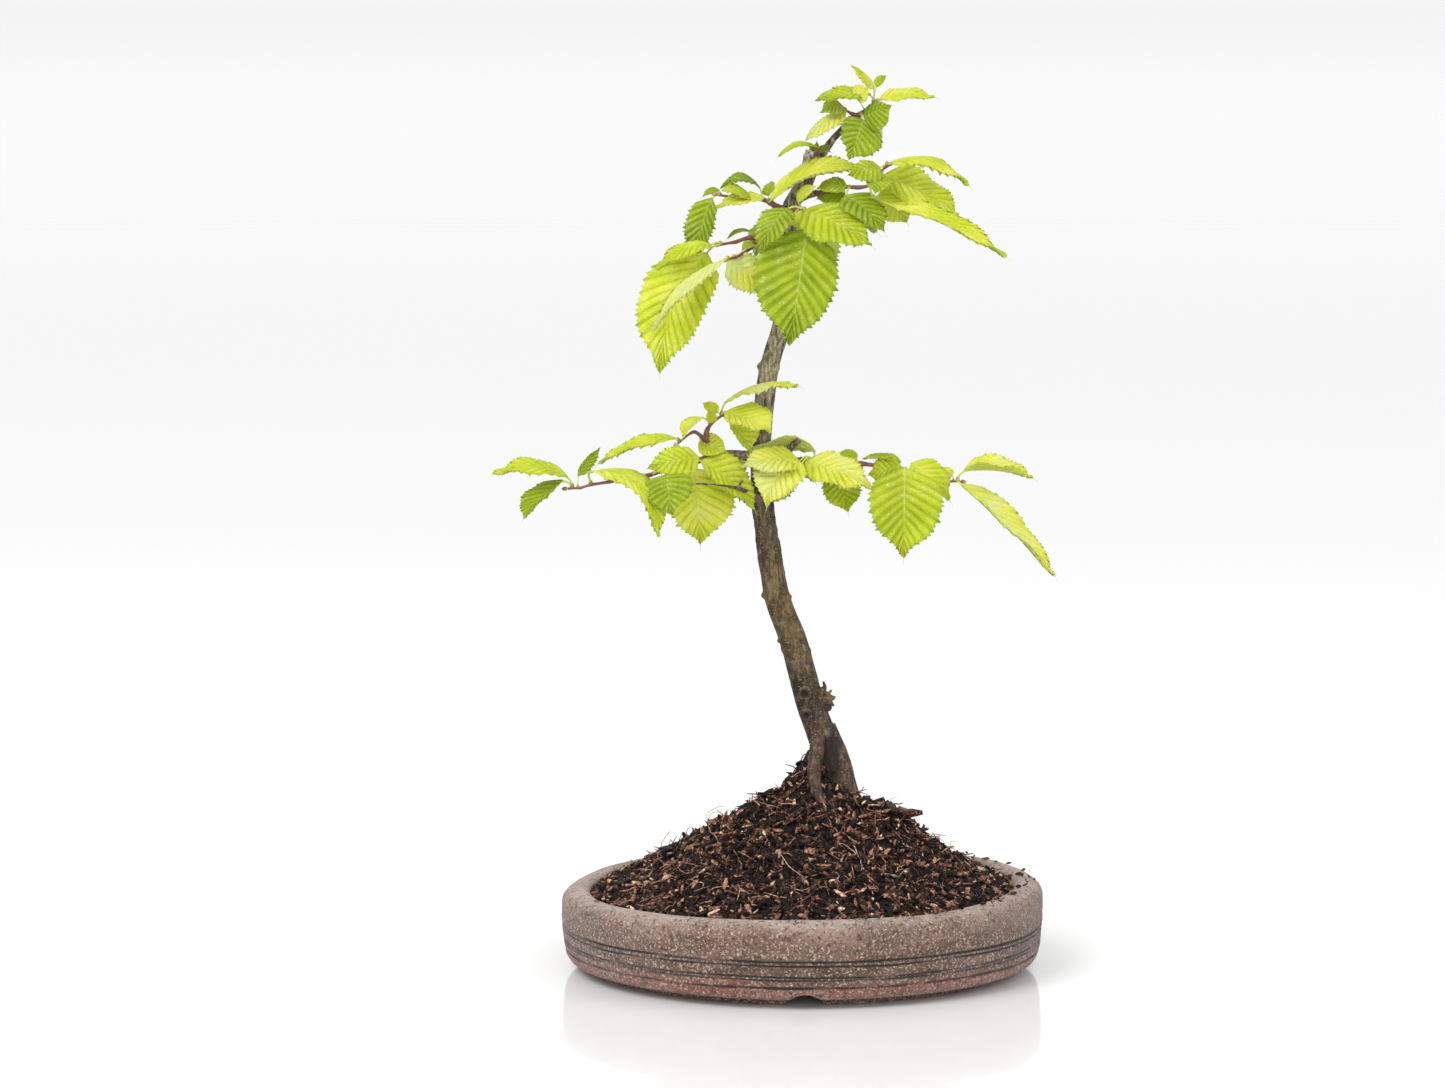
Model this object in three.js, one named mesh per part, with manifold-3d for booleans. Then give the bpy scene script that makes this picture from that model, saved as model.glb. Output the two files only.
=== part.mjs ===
// A young hornbeam bonsai in a low, hand-made round pot of unglazed stoneware.
// Millimetres, +Z up. Lists of places are measured from a point on the table near the middle of the pot.
import * as THREE from "three";
import { mergeVertices } from "three/addons/utils/BufferGeometryUtils.js";
import Module from "manifold-3d";

const wasm = await Module();
wasm.setup();

// The crown leans out to the left, so the middle of the whole tree's box lies left of the pot.
const boxMiddleX = -13.5;

// Pot
const potX = -1;
const potRadius = 105.2;
const potDepthRatio = 0.87;
const potSides = 36;
const footHeight = 4;
const footOuter = 90;
const footInner = 76;
const undersideRadius = 100;
const floorTop = 10;
const rimHeight = 37.4;
const rimTilt = 0.016;
const rimInner = 92;
const innerFloorRadius = 84;
const grooveDepth = 1;
const notchWidth = 15.5;
const notchHeight = 6.8;
const notchLength = 84;
const notchAngles = [-90, 30, 150];
const drainHoleRadius = 6;
const drainHoleX = [-38, 0, 38];

// Soil
const clearance = 0.3;
const soilEdgeHeight = 34.5;
const moundHeight = 51;
const collarHeight = 11;
const collarSpread = 9;
const moundX = 4;
const moundY = 2;
const soilSides = 36;
const soilRings = 9;
const lumpHeight = 1.6;

// Leaves
const bladeThickness = 0.72;
const bladeEndHalfWidth = 0.42;
const veinSlant = 0.9;
const veinSpacing = 8;
const fewestVeins = 3;
const mostVeins = 6;
const toothLength = 0.7;
const pleatHeight = 0.55;
const cupShare = 0.12;
const outlineBase = 0.53;
const outlineTip = 0.8;
const tipPinch = 0.3;
const petioleRadius = 0.58;
const petioleSides = 3;

// Wood. A path row is [x, y, z, radius].
const trunkSides = 12;
const branchSides = 6;
const rootSides = 6;
const shootSides = 5;
const bigKnot = 2.5;

const trunkPath = [
  [14, 3, 58, 6.6],
  [13, 3, 74, 6.8],
  [11, 3, 90, 6.6],
  [7, 3, 103, 6.2],
  [1.5, 3, 119, 6.1],
  [-4.5, 3, 142, 5.9],
  [-12, 2, 163, 5.5],
  [-16, 1, 186, 5.0],
  [-19, 0, 214, 4.6],
  [-18.5, -1, 236, 4.2],
  [-15.5, -1, 262, 4.2],
  [-9.7, -1, 283, 4.0],
  [-7.8, -1, 318, 3.8],
  [-6.5, 0, 331, 3.7],
  [0.5, 0, 343, 3.5],
  [2.6, 0, 352, 3.7],
];

// Each root leaves the trunk above the soil or in it.
const roots = [
  [
    [5.9, -2, 104, 3.4], [4.7, -7, 93, 2.9], [4.1, -8.5, 85, 2.6],
    [5.9, -10.5, 77.5, 2.0], [11, -16, 70, 1.5],
  ],
  [[9, 3, 105, 5.0], [15, 3, 90, 5.2], [18.5, 2, 79, 4.6], [24, 1, 66, 3.6], [36, 0, 52, 2.4]],
  [[12, 3, 70, 5.0], [2, 8, 58, 3.6], [-16, 14, 44, 2.0]],
  [[13, 4, 66, 5.0], [18, 18, 52, 3.4], [24, 36, 38, 1.8]],
  [[12, 2, 64, 4.6], [-2, -12, 50, 3.0], [-18, -28, 38, 1.6]],
];

// Limbs: old wood that grew with the trunk. A twig without leaves is one of them.
const limbs = [
  [[1.5, 0, 348, 2.4], [7.5, -2, 354.5, 1.8], [11.5, -3, 360, 1.6], [16, -4, 365, 1.4]],
  [[2.6, -2, 351, 1.5], [4.4, -5, 353.8, 1.2]],
  [[-7, 0, 329, 2.0], [-12, -5, 331.5, 1.4]],
  [[-7.8, -1, 318, 2.2], [-12, -6, 318.2, 1.8], [-16, -9, 318.2, 1.5]],
  [[-5, 0, 333, 2.2], [0, -5, 336, 1.8], [5, -7, 337.5, 1.5]],
  [[-7, -1, 327, 2.0], [-5.5, -7, 329.5, 1.5]],
  [[-7.5, 1, 321, 2.2], [-5, 10, 323.5, 1.6], [-4, 14, 324.5, 1.4]],
  [[-18.7, -1, 224, 3.2], [-26, -9, 225, 2.4], [-34, -15, 226, 2.0], [-39, -18, 225.4, 1.6]],
  [[-34, -15, 226, 1.6], [-39.5, -17, 230, 1.4]],
  [
    [-18.8, -1, 205, 2.0], [-24, -10, 208.5, 1.3], [-29, -25, 212.5, 1.0],
    [-38, -33, 215, 0.9], [-47, -37, 216, 0.8],
  ],
  [[-29, -25, 212.5, 0.9], [-27, -29, 217, 0.8]],
  [[-18.5, 0, 221.5, 2.8], [-10, -4, 222.4, 2.0], [-2, -5.3, 222.4, 1.5]],
  [[-8, -4, 222.5, 1.7], [-6.5, -7, 228, 1.5], [-2.5, -9, 232, 1.3]],
  [[-18.5, 1, 217, 2.6], [-16.5, 10, 218.4, 1.8], [-15.5, 15, 218.8, 1.5]],
];

// Knots, pruning scars, buds and the cut top. A row is [x, y, z, radius].
const knots = [
  [2.6, 0, 353, 4.0],
  [0, -2.6, 121, 2.2],
  [0.7, -2.4, 111.5, 2.1],
  [-4.7, -2.4, 136.5, 1.3],
  [-17, 1, 163.5, 1.7],
  [-10.6, 1, 143.5, 1.4],
  [-8.8, 1, 139.3, 1.3],
  [-3.4, 0, 120, 1.4],
  [-6.8, 1, 162.6, 1.3],
  [1.2, 1, 139.5, 1.4],
  [-9.6, 1, 173, 1.3],
  [-19.6, -1, 186.5, 1.6],
  [9.4, 2, 117, 3.0],
  [11.2, 1.5, 115, 2.2],
  [-19, -1, 263, 1.8],
  [6.8, 0.5, 103.5, 6.4],
];

// Leafy shoots. Their twigs start where a limb ends; leaf rows are
// [foot], [tip], [way the upper face looks], width, arch, fold in degrees, lean to one side, sideways bend.
const shoots = {
  spray_apex: {
    twigs: [
      [[16, -4, 365, 1.4], [22.5, -4, 370, 1.3], [29.5, -4, 376, 0.9]],
      [[22.5, -4, 370, 1.2], [17, -5, 372.5, 0.8]],
    ],
    leaves: [
      [[29.3, -5, 381.7], [19, -12, 391.8], [2, -6, 5], 5.5, 0.03, 10, -0.3, 0],
      [[31, -5, 377], [55, -4, 378], [0, -3, 9], 15, 0.06, 10, -0.2, 0],
      [[27.7, -6, 379.3], [3.5, -16, 377], [0, -5, 9], 11, 0.05, 10, 0.15, 0],
      [[24, -9, 370.5], [17.6, -26, 353], [4, -8, 5], 18, 0.06, 12, -0.3, 0],
      [[27, -2, 367], [31.5, 0, 357.5], [5, -8, 4], 8, 0.05, 20, 0, 0],
      [[29.9, 0, 382], [34.3, 4, 387], [0, -8, 4], 4, 0.05, 20, -0.4, 0],
      [[16.5, -5, 373], [6, -10, 371.5], [-1, -6, 6], 10, 0.2, 10, 0, 0],
      [[17, -6, 371.5], [-0.5, -14, 360], [-4, -6, 6], 8, 0.02, 10, -0.45, 0],
      [[21.8, -10, 376.7], [26.3, -13, 382.6], [0, -8, 5], 8.5, 0.05, 10, -0.2, 0],
      [[23.5, -6, 375], [33.5, -14, 366], [4, -8, 5], 16, 0.05, 10, 0, 0],
    ],
  },
  spray_stump: {
    twigs: [
      [[4.4, -5, 353.8, 1.1], [5.4, -7, 355.4, 0.8]],
    ],
    leaves: [
      [[5, -9, 357], [-12, -14, 353], [-1, -3, 10], 6.5, 0.19, 10, -0.2, 0],
    ],
  },
  spray_upper_left: {
    twigs: [
      [[-12, -5, 331.5, 1.4], [-16, -8, 333.5, 1.3], [-26, -12, 335.5, 1], [-38, -17, 337, 0.8]],
    ],
    leaves: [
      [[-18, -12, 333], [-39, -20, 329.5], [0, -4, 9], 11, 0.06, 15, 0, 0],
      [[-19.5, -6, 339.5], [-36.5, -12, 339.5], [1, -3.5, 9], 9.5, 0.28, 5, 0.1, 0],
      [[-23, -15, 335], [-36, -20, 339], [0, -4, 9], 12, 0.1, 8, 0.3, 0],
      [[-40, -18, 336], [-47.5, -17, 309], [-3, -8, 4], 14, 0.08, 12, 0.15, 0],
      [[-37, -14, 339], [-44, -16, 336.3], [0, -4, 8], 5, 0.12, 15, 0, 0],
      [[-16, -10, 333.5], [27, -14.5, 348], [-2, -4, 9], 16, 0.15, 12, -0.3, 0],
      [[-16, -6, 336], [-14.5, 0, 342], [-5, -5, 5], 7, 0.05, 20, 0, 0],
    ],
  },
  spray_upper_left_low: {
    twigs: [
      [[-16, -9, 318.2, 1.5], [-20, -12, 318, 1.4], [-28, -17, 318, 1.1], [-37, -23, 316, 0.9]],
      [[-20, -12, 318, 1.2], [-27, -22, 313, 0.9], [-34, -32, 311, 0.8]],
    ],
    leaves: [
      [[-40, -27, 316.5], [-63.5, -38, 306.5], [-1, -4, 8], 12, 0.14, 10, -0.2, 0],
      [[-42, -28, 313.5], [-62, -42, 263], [-1.5, -9, 3], 31, 0.05, 10, 0.06, 0.08],
      [[-24, -12, 321.5], [-33.5, -15, 318.5], [0, -2, 10], 5, 0.12, 20, 0, 0],
      [[-34, -36, 311], [-65.5, -56, 281.8], [-4.5, -3, 9], 12, 0.08, 5, 0, 0],
      [[-33.5, -23, 310.5], [-14, -25, 297], [1, -9, 3], 17, 0.04, 8, 0.1, 0],
      [[-21.5, -20, 315.5], [-27.5, -27, 314], [0, -5, 8], 6, 0.15, 20, 0, 0],
    ],
  },
  spray_upper_front: {
    twigs: [
      [[-5.5, -7, 329.5, 1.3], [-3, -12, 331, 1.1], [0, -20, 330.5, 0.8]],
    ],
    leaves: [
      [[0, -27, 323.5], [-7.5, -44, 275], [1, -9, 3], 36, 0.04, 8, 0.1, 0],
      [[-1, -23, 331], [27, -42, 317], [2, -8, 6], 23, 0.06, 8, 0.15, 0],
      [[-8, -16, 331], [-20.5, -34, 313], [-3, -8, 5], 15, 0.1, 10, 0, 0],
      [[-4, -15, 334.5], [4, -19, 341], [0, -7, 7], 7, 0.05, 20, 0, 0],
      [[-5.5, -15, 329], [-2.5, -20, 323], [0, -8, 4], 8, 0.05, 20, 0, 0],
    ],
  },
  spray_upper_right: {
    twigs: [
      [
        [5, -7, 337.5, 1.5], [16, -12, 340, 1.3], [26, -16, 341.5, 1.1],
        [31, -20, 346, 0.9], [34.5, -22, 350, 0.8],
      ],
    ],
    leaves: [
      [[17.5, -9, 341], [4.5, -6, 340.5], [0, -6, 7], 9, 0.1, 15, -0.2, 0],
      [[31, -25, 349], [17, -34, 346], [0, -8, 5], 12, 0.05, 10, -0.2, 0],
      [[32, -26, 345], [28.5, -38, 338.5], [-1, -8, 5], 12, 0.08, 15, 0, 0],
      [[34, -22, 350.3], [68.5, -26, 341.5], [0, -3, 8], 14, 0.17, -5, -0.25, 0],
      [[32.5, -16, 345.5], [64.5, -18, 328.5], [3.5, -5, 8], 28, 0.05, 12, 0, 0],
      [[26.5, -24, 336.5], [83.5, -46, 312.5], [3, -4.5, 8.5], 20, 0.05, 14, 0, 0],
      [[16.5, -20, 337], [32.5, -36, 322.5], [3, -7.5, 6], 18, 0.08, 12, 0, 0],
      [[32.5, -12, 340], [43, -12, 325], [0, -8.5, 4], 19, 0.05, 12, 0, 0],
      [[17, -11, 336], [4.5, -9, 335], [0, -7, 6], 9, 0.1, 10, 0, 0],
    ],
  },
  spray_upper_back: {
    twigs: [
      [[-4, 14, 324.5, 1.4], [0, 26, 327, 1.1], [5, 40, 328, 0.8]],
    ],
    leaves: [
      [[8, 44, 327], [24, 66, 312], [3, 4, 8], 24, 0.1, 12, 0, 0],
      [[-3, 32, 327], [-22, 52, 306], [-3, 5, 6], 23, 0.08, 12, 0, 0],
      [[3, 40, 325], [4, 56, 292], [0, 8, 3], 26, 0.05, 10, 0, 0],
      [[5, 30, 326], [32, 44, 318], [3, 4, 8], 19, 0.1, 15, 0, 0],
    ],
  },
  spray_lower_left: {
    twigs: [
      [
        [-39, -18, 225.4, 1.6], [-47, -22, 224, 1.4], [-60, -29, 220.5, 1.1],
        [-75, -34, 217, 1], [-91, -37, 215.5, 0.9], [-101, -38, 214, 0.8],
      ],
    ],
    leaves: [
      [[-101, -38, 219], [-132.5, -44, 220.8], [0, -3.2, 10], 17, 0.12, 12, 0, 0],
      [[-103, -40, 218], [-119.2, -54, 203.2], [-6, -5, 6], 14, 0, 15, 0.5, 0.08],
      [[-97, -35, 219], [-87.7, -30, 230.5], [-3, -8, 4], 5.5, 0.04, 10, 0.3, 0],
      [[-93, -42, 221.5], [-62, -60, 196], [6, -3, 8], 28, 0.25, 5, -0.3, 0],
      [[-59, -44, 220.5], [-57, -62, 205.5], [-1, -9, 4.5], 22, 0.06, 15, 0, 0],
      [[-47.5, -13, 220.1], [-45, -31, 189.3], [0, -10, 5], 30, 0.05, 8, -0.12, 0],
      [[-47.5, -34, 229], [-67.5, -42, 223.5], [0, -6, 8], 9.5, 0.07, 12, -0.2, 0],
      [[-45, -36, 226], [-22, -52, 207], [4, -7, 6], 16, 0.1, 10, -0.3, 0],
    ],
  },
  spray_lower_left_fork: {
    twigs: [
      [[-39.5, -17, 230, 1.4], [-42, -18, 233, 1.3], [-41, -17, 238.5, 1.1], [-36, -15, 243.5, 0.8]],
      [[-42, -18, 233, 1.1], [-47.5, -21, 235.5, 0.8], [-54, -25, 231.5, 0.7]],
    ],
    leaves: [
      [[-44, -20, 242.5], [-52.5, -28, 234.5], [-6, -5, 5], 10, 0.12, 20, 0.1, 0],
      [[-39.5, -18, 240], [-41.5, -20, 246], [0, -9, 2], 5, 0.05, 20, 0, 0],
      [[-37.5, -15, 244], [-44, -12, 248], [0, -7, 7], 6, 0.05, 20, 0, 0],
      [[-34.8, -19, 244.8], [-15, -36, 238], [0, -5.5, 8.5], 18, 0.04, 6, -0.35, 0],
      [[-35, -14, 248.2], [-3.3, -26, 256.5], [-1, -1, 10], 16, 0.12, 18, 0, 0],
      [[-32.5, -12, 239.5], [-24, -14, 226.5], [3, -6, 6], 14, 0.16, 8, -0.5, 0],
      [[-46, -18, 231], [-34, -20, 228], [0, -6, 7], 14, 0.05, 15, 0, 0],
      [[-55.5, -26, 234.3], [-88.5, -24, 223.2], [0, -4, 9], 10, 0.1, 0, 0.35, 0],
    ],
  },
  spray_lower_right: {
    twigs: [
      [
        [-2, -5.3, 222.4, 1.5], [8, -6, 222, 1.3], [24, -8, 221, 1.1],
        [43, -12, 219, 0.9], [58, -14, 214.5, 0.8], [66, -16, 214.5, 0.7],
      ],
    ],
    leaves: [
      [[4.5, -19, 228], [-23, -23, 229.2], [0, 4, 8.5], 17, 0.12, 8, 0, 0],
      [[0, -21, 223.5], [-26, -32, 220.5], [0, -6.5, 7.5], 15, 0.08, 10, 0, 0],
      [[4.5, -25, 222], [-14, -37, 205.5], [1.5, -9, 4.5], 16, 0.05, 8, 0.2, 0.15],
      [[7.5, -18, 221], [26.5, -32, 210.8], [1, -7, 7], 15, 0.08, 10, 0, 0],
      [[14, -12, 218], [18, -20, 202], [-1, -9, 4], 14, 0.05, 10, 0, 0],
      [[22, -6, 221.8], [14, -2, 225.5], [0, -7, 7], 8, 0.1, 15, 0, 0],
      [[42, -20, 221], [41, -42, 185], [0, -9.5, 4], 32, 0.05, 8, -0.05, 0],
      [[41, -12, 222.5], [24.5, -8, 223.5], [0, -2.5, 10], 8, 0.12, 10, 0, 0],
      [[45, -15, 222.5], [61.5, -20, 207], [4, -7, 5], 19, 0.06, 10, 0, 0],
      [[67.5, -16, 219.5], [97, -20, 216.5], [0, -2, 10], 17, 0.06, 42, 0, 0],
      [[65.8, -19, 214.2], [106.3, -26, 175], [6, -3, 6], 17, 0.03, 20, -0.35, 0],
      [[63, -13, 216.5], [58, -9, 219.5], [0, -7, 7], 5, 0.1, 20, 0, 0],
      [[41, -16, 221], [27, -12, 217], [0, -8, 5], 14, 0.05, 10, 0, 0],
    ],
  },
  spray_lower_back: {
    twigs: [
      [[-15.5, 15, 218.8, 1.5], [-13, 28, 219, 1.2], [-7, 44, 217, 0.8]],
    ],
    leaves: [
      [[-5, 48, 216], [6, 70, 205], [2, 5, 7], 22, 0.1, 12, 0, 0],
      [[-16, 32, 218], [-38, 50, 208], [-3, 4, 7], 22, 0.1, 12, 0, 0],
      [[-9, 40, 215], [-16, 58, 194], [-1, 7, 4], 20, 0.05, 10, 0, 0],
    ],
  },
};

const bark = new THREE.MeshStandardMaterial({ color: 0x6e6355, roughness: 0.85, metalness: 0 });
const stoneware = new THREE.MeshStandardMaterial({ color: 0x85716a, roughness: 0.8, metalness: 0 });
const compost = new THREE.MeshStandardMaterial({ color: 0x2e211c, roughness: 0.95, metalness: 0 });
const foliage = new THREE.MeshStandardMaterial({ color: 0xa9c832, roughness: 0.45, metalness: 0 });

// Solids

function signedVolume(positions, triangles) {
  const a = new THREE.Vector3();
  const b = new THREE.Vector3();
  const c = new THREE.Vector3();
  let sum = 0;
  for (let i = 0; i < triangles.length; i += 3) {
    a.fromArray(positions, triangles[i] * 3);
    b.fromArray(positions, triangles[i + 1] * 3);
    c.fromArray(positions, triangles[i + 2] * 3);
    sum += a.dot(b.cross(c)) / 6;
  }
  return sum;
}

// Closed geometry from points and triangles, turned so that its faces point out.
function closedGeometry(points, triangles) {
  const positions = new Float32Array(points.flatMap((point) => point.toArray()));
  const turned = signedVolume(positions, triangles) < 0 ? [...triangles].reverse() : triangles;
  const geometry = new THREE.BufferGeometry();
  geometry.setAttribute("position", new THREE.BufferAttribute(positions, 3));
  geometry.setIndex(turned);
  return geometry;
}

function toSolid(geometry) {
  const bare = geometry.clone();
  bare.deleteAttribute("normal");
  bare.deleteAttribute("uv");
  const merged = mergeVertices(bare, 1e-4);
  const mesh = new wasm.Mesh({
    numProp: 3,
    vertProperties: new Float32Array(merged.attributes.position.array),
    triVerts: new Uint32Array(merged.index.array),
  });
  return new wasm.Manifold(mesh);
}

function toGeometry(solid) {
  const mesh = solid.getMesh();
  const geometry = new THREE.BufferGeometry();
  geometry.setAttribute("position", new THREE.BufferAttribute(mesh.vertProperties, 3));
  geometry.setIndex(new THREE.BufferAttribute(mesh.triVerts, 1));
  return geometry;
}

// The one solid that all the pieces make together. Scraps that touch nothing are dropped.
function fused(geometries) {
  const joined = geometries.map(toSolid).reduce((sum, solid) => sum.add(solid));
  return largestPart(joined);
}

function largestPart(solid) {
  const parts = solid.decompose();
  return parts.reduce((best, part) => (part.volume() > best.volume() ? part : best));
}

function vector(row) {
  return new THREE.Vector3(row[0], row[1], row[2]);
}

// A closed skin over rings of points: every ring has the same number, and both ends are capped.
function skinned(rings) {
  const sides = rings[0].length;
  const points = rings.flat();
  const triangles = [];
  for (let ring = 0; ring + 1 < rings.length; ring += 1) {
    for (let side = 0; side < sides; side += 1) {
      const next = (side + 1) % sides;
      const here = ring * sides;
      const there = here + sides;
      triangles.push(here + side, here + next, there + next);
      triangles.push(here + side, there + next, there + side);
    }
  }
  const last = (rings.length - 1) * sides;
  for (let side = 1; side + 1 < sides; side += 1) {
    triangles.push(0, side + 1, side);
    triangles.push(last, last + side, last + side + 1);
  }
  return closedGeometry(points, triangles);
}

// A tapering stem along a smooth curve through a path's points, with a ring of points at each.
// It may be grown all over, ends too, or start a gap further on.
function stem(path, sides, { grow = 0, gap = 0 } = {}) {
  const curve = new THREE.CatmullRomCurve3(path.map(vector), false, "centripetal");
  const steps = path.length - 1;
  const rings = [];
  for (let step = 0; step <= steps; step += 1) {
    const centre = curve.getPoint(step / steps);
    const ahead = curve.getTangent(step / steps);
    if (step === 0) centre.addScaledVector(ahead, gap - grow);
    if (step === steps) centre.addScaledVector(ahead, grow);
    const radius = path[step][3] + grow;
    const across = new THREE.Vector3(0, 1, 0).cross(ahead);
    if (across.length() < 0.3) across.set(1, 0, 0).cross(ahead);
    across.normalize();
    const up = new THREE.Vector3().crossVectors(ahead, across).normalize();
    const ring = [];
    for (let side = 0; side < sides; side += 1) {
      const turn = (side / sides) * Math.PI * 2;
      const point = centre.clone().addScaledVector(across, Math.cos(turn) * radius);
      ring.push(point.addScaledVector(up, Math.sin(turn) * radius));
    }
    rings.push(ring);
  }
  return skinned(rings);
}

// Leaves

// Half width of the blade at a share of its length, as a share of the widest.
function outline(share) {
  const peak = outlineBase / (outlineBase + outlineTip);
  const highest = peak ** outlineBase * (1 - peak) ** outlineTip;
  const oval = (share ** outlineBase * (1 - share) ** outlineTip) / highest;
  return oval * (1 - tipPinch * Math.exp(-(((share - 0.93) / 0.08) ** 2)));
}

// A blade has a midrib and, on each side, one slanting vein to each tooth. Between two veins its
// surface is puffed up and its edge cut in. Both faces have the same triangles.
function blade([foot, tip, face, width, arch, fold, lean, bend]) {
  const start = vector(foot);
  const chord = vector(tip).sub(start);
  const length = chord.length();
  const along = chord.clone().normalize();
  const up = vector(face);
  up.addScaledVector(along, -up.dot(along)).normalize();
  const across = new THREE.Vector3().crossVectors(along, up);
  const veins = THREE.MathUtils.clamp(Math.round(length / veinSpacing), fewestVeins, mostVeins);
  const stations = veins * 2;
  const lift = THREE.MathUtils.degToRad(fold);
  const small = Math.min(1, length / 30);

  // Middle of the blade at a share of its length, and the way its surface looks there.
  function spine(share) {
    const slope = 4 * arch * (1 - 2 * share);
    const middle = start.clone().addScaledVector(along, length * share);
    middle.addScaledVector(up, length * arch * 4 * share * (1 - share));
    middle.addScaledVector(across, length * bend * 4 * share * (1 - share));
    const normal = up.clone().addScaledVector(along, -slope).normalize();
    return { middle, normal };
  }

  const rows = [];
  for (let station = 0; station <= stations; station += 1) {
    const share = station / stations;
    const reach = share + veinSlant * share * (1 - share);
    const onVein = station % 2 === 0;
    const inside = station > 0 && station < stations;
    const centre = spine(share);
    const row = [];
    for (const side of [1, 0, -1]) {
      const rib = spine(side === 0 ? share : reach);
      const point = (side === 0 ? centre : rib).middle.clone();
      const looks = rib.normal.clone();
      if (side !== 0) {
        const tooth = inside ? toothLength * small * (onVein ? 1 : -1) : 0;
        const full = (width / 2) * (1 + side * lean) * outline(reach);
        const out = Math.max(full, bladeEndHalfWidth) + tooth;
        const pleat = inside ? pleatHeight * small * (onVein ? -1 : 1) : 0;
        point.addScaledVector(across, side * out * Math.cos(lift));
        point.addScaledVector(rib.normal, out * Math.sin(lift) - cupShare * full + pleat);
        looks.multiplyScalar(Math.cos(lift)).addScaledVector(across, -side * Math.sin(lift)).normalize();
      }
      const half = bladeThickness / 2 / (side === 0 ? Math.cos(lift) : 1);
      row.push([point.clone().addScaledVector(looks, half), point.addScaledVector(looks, -half)]);
    }
    rows.push(row);
  }

  const points = rows.flat(2);
  const triangles = [];
  // Corner of a row: 0 one edge, 1 midrib, 2 the other edge; face 0 above, 1 below.
  const corner = (row, place, layer) => row * 6 + place * 2 + layer;
  const quad = (a, b, c, d) => triangles.push(a, b, c, a, c, d);
  for (let row = 0; row < stations; row += 1) {
    for (const layer of [0, 1]) {
      for (const edge of [0, 2]) {
        const patch = [corner(row, 1, layer), corner(row + 1, 1, layer)];
        patch.push(corner(row + 1, edge, layer), corner(row, edge, layer));
        const swapped = (layer === 1) !== (edge === 2);
        if (swapped) triangles.push(patch[0], patch[2], patch[1], patch[0], patch[3], patch[2]);
        else quad(...patch);
      }
    }
    quad(corner(row, 0, 0), corner(row + 1, 0, 0), corner(row + 1, 0, 1), corner(row, 0, 1));
    quad(corner(row, 2, 1), corner(row + 1, 2, 1), corner(row + 1, 2, 0), corner(row, 2, 0));
  }
  for (const place of [0, 1]) {
    quad(corner(0, place, 0), corner(0, place, 1), corner(0, place + 1, 1), corner(0, place + 1, 0));
    const last = [corner(stations, place, 1), corner(stations, place, 0)];
    last.push(corner(stations, place + 1, 0), corner(stations, place + 1, 1));
    quad(...last);
  }
  return closedGeometry(points, triangles);
}

// The point of a shoot's twigs that lies nearest to a leaf's foot, a little way in from where they start.
function nearestOnTwigs(twigs, foot) {
  let best = null;
  for (const path of twigs) {
    const curve = new THREE.CatmullRomCurve3(path.map(vector), false, "centripetal");
    for (let share = 0.12; share <= 1; share += 0.04) {
      const point = curve.getPoint(share);
      const distance = point.distanceTo(foot);
      if (best === null || distance < best.distance) best = { point, distance };
    }
  }
  return best.point;
}

// A leaf stalk from the twig to just inside the blade, with a slight bow.
function petiole(twigs, [foot, tip, , , arch]) {
  const end = vector(foot);
  const start = nearestOnTwigs(twigs, end);
  const inward = vector(tip).sub(end).normalize();
  const bow = start.distanceTo(end) * (0.1 + arch * 0.3);
  const middle = start.clone().lerp(end, 0.55).add(new THREE.Vector3(0, 0, bow));
  end.addScaledVector(inward, 1.2);
  const rows = [start, middle, end].map((point) => [...point.toArray(), petioleRadius]);
  return stem(rows, petioleSides);
}

function spray({ twigs, leaves }) {
  const pieces = twigs.map((path, index) => stem(path, shootSides, { gap: index === 0 ? clearance : 0 }));
  for (const leaf of leaves) pieces.push(petiole(twigs, leaf), blade(leaf));
  return toGeometry(fused(pieces));
}

// Wood

function knot([x, y, z, radius]) {
  const bump = new THREE.IcosahedronGeometry(radius, radius > bigKnot ? 1 : 0);
  bump.translate(x, y, z);
  return bump;
}

// The room that the trunk's foot and its roots take up in the soil, larger all round by a clearance.
function underground(grow) {
  const below = [stem(trunkPath.slice(0, 6), trunkSides, { grow })];
  for (const path of roots) below.push(stem(path, rootSides, { grow }));
  return fused(below);
}

function trunk() {
  const pieces = [stem(trunkPath, trunkSides)];
  for (const path of roots) pieces.push(stem(path, rootSides));
  for (const path of limbs) pieces.push(stem(path, branchSides));
  for (const row of knots) pieces.push(knot(row));
  return toGeometry(fused(pieces));
}

// Pot and soil

// A point on the pot at a distance from its middle, an angle and a height. The rim is uneven and
// stands higher on the right.
function potPoint(radius, turn, height) {
  const share = height / rimHeight;
  const tilt = rimTilt * radius * Math.cos(turn) * share ** 2;
  const wave = 0.5 * Math.sin(3 * turn + 1) * share ** 2;
  const x = potX + radius * Math.cos(turn);
  const y = radius * potDepthRatio * Math.sin(turn);
  return new THREE.Vector3(x, y, height + tilt + wave * (height > floorTop));
}

const potProfile = [
  [footInner, footHeight],
  [footInner, 0],
  [footOuter, 0],
  [footOuter, footHeight],
  [undersideRadius, footHeight],
  [potRadius - 2.2, 7],
  [potRadius - 1.1, 13],
  [potRadius - 1.1 - grooveDepth, 13.8],
  [potRadius - 0.9, 14.6],
  [potRadius - 0.6, 19.2],
  [potRadius - 0.6 - grooveDepth, 20.2],
  [potRadius - 0.2, 21.2],
  [potRadius - 0.3, 31.5],
  [potRadius - 3, 35.8],
  [potRadius - 7, rimHeight],
  [rimInner + 1.6, rimHeight - 0.8],
  [rimInner, rimHeight - 3.5],
  [rimInner - 1.5, 22],
  [innerFloorRadius, floorTop],
];

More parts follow.
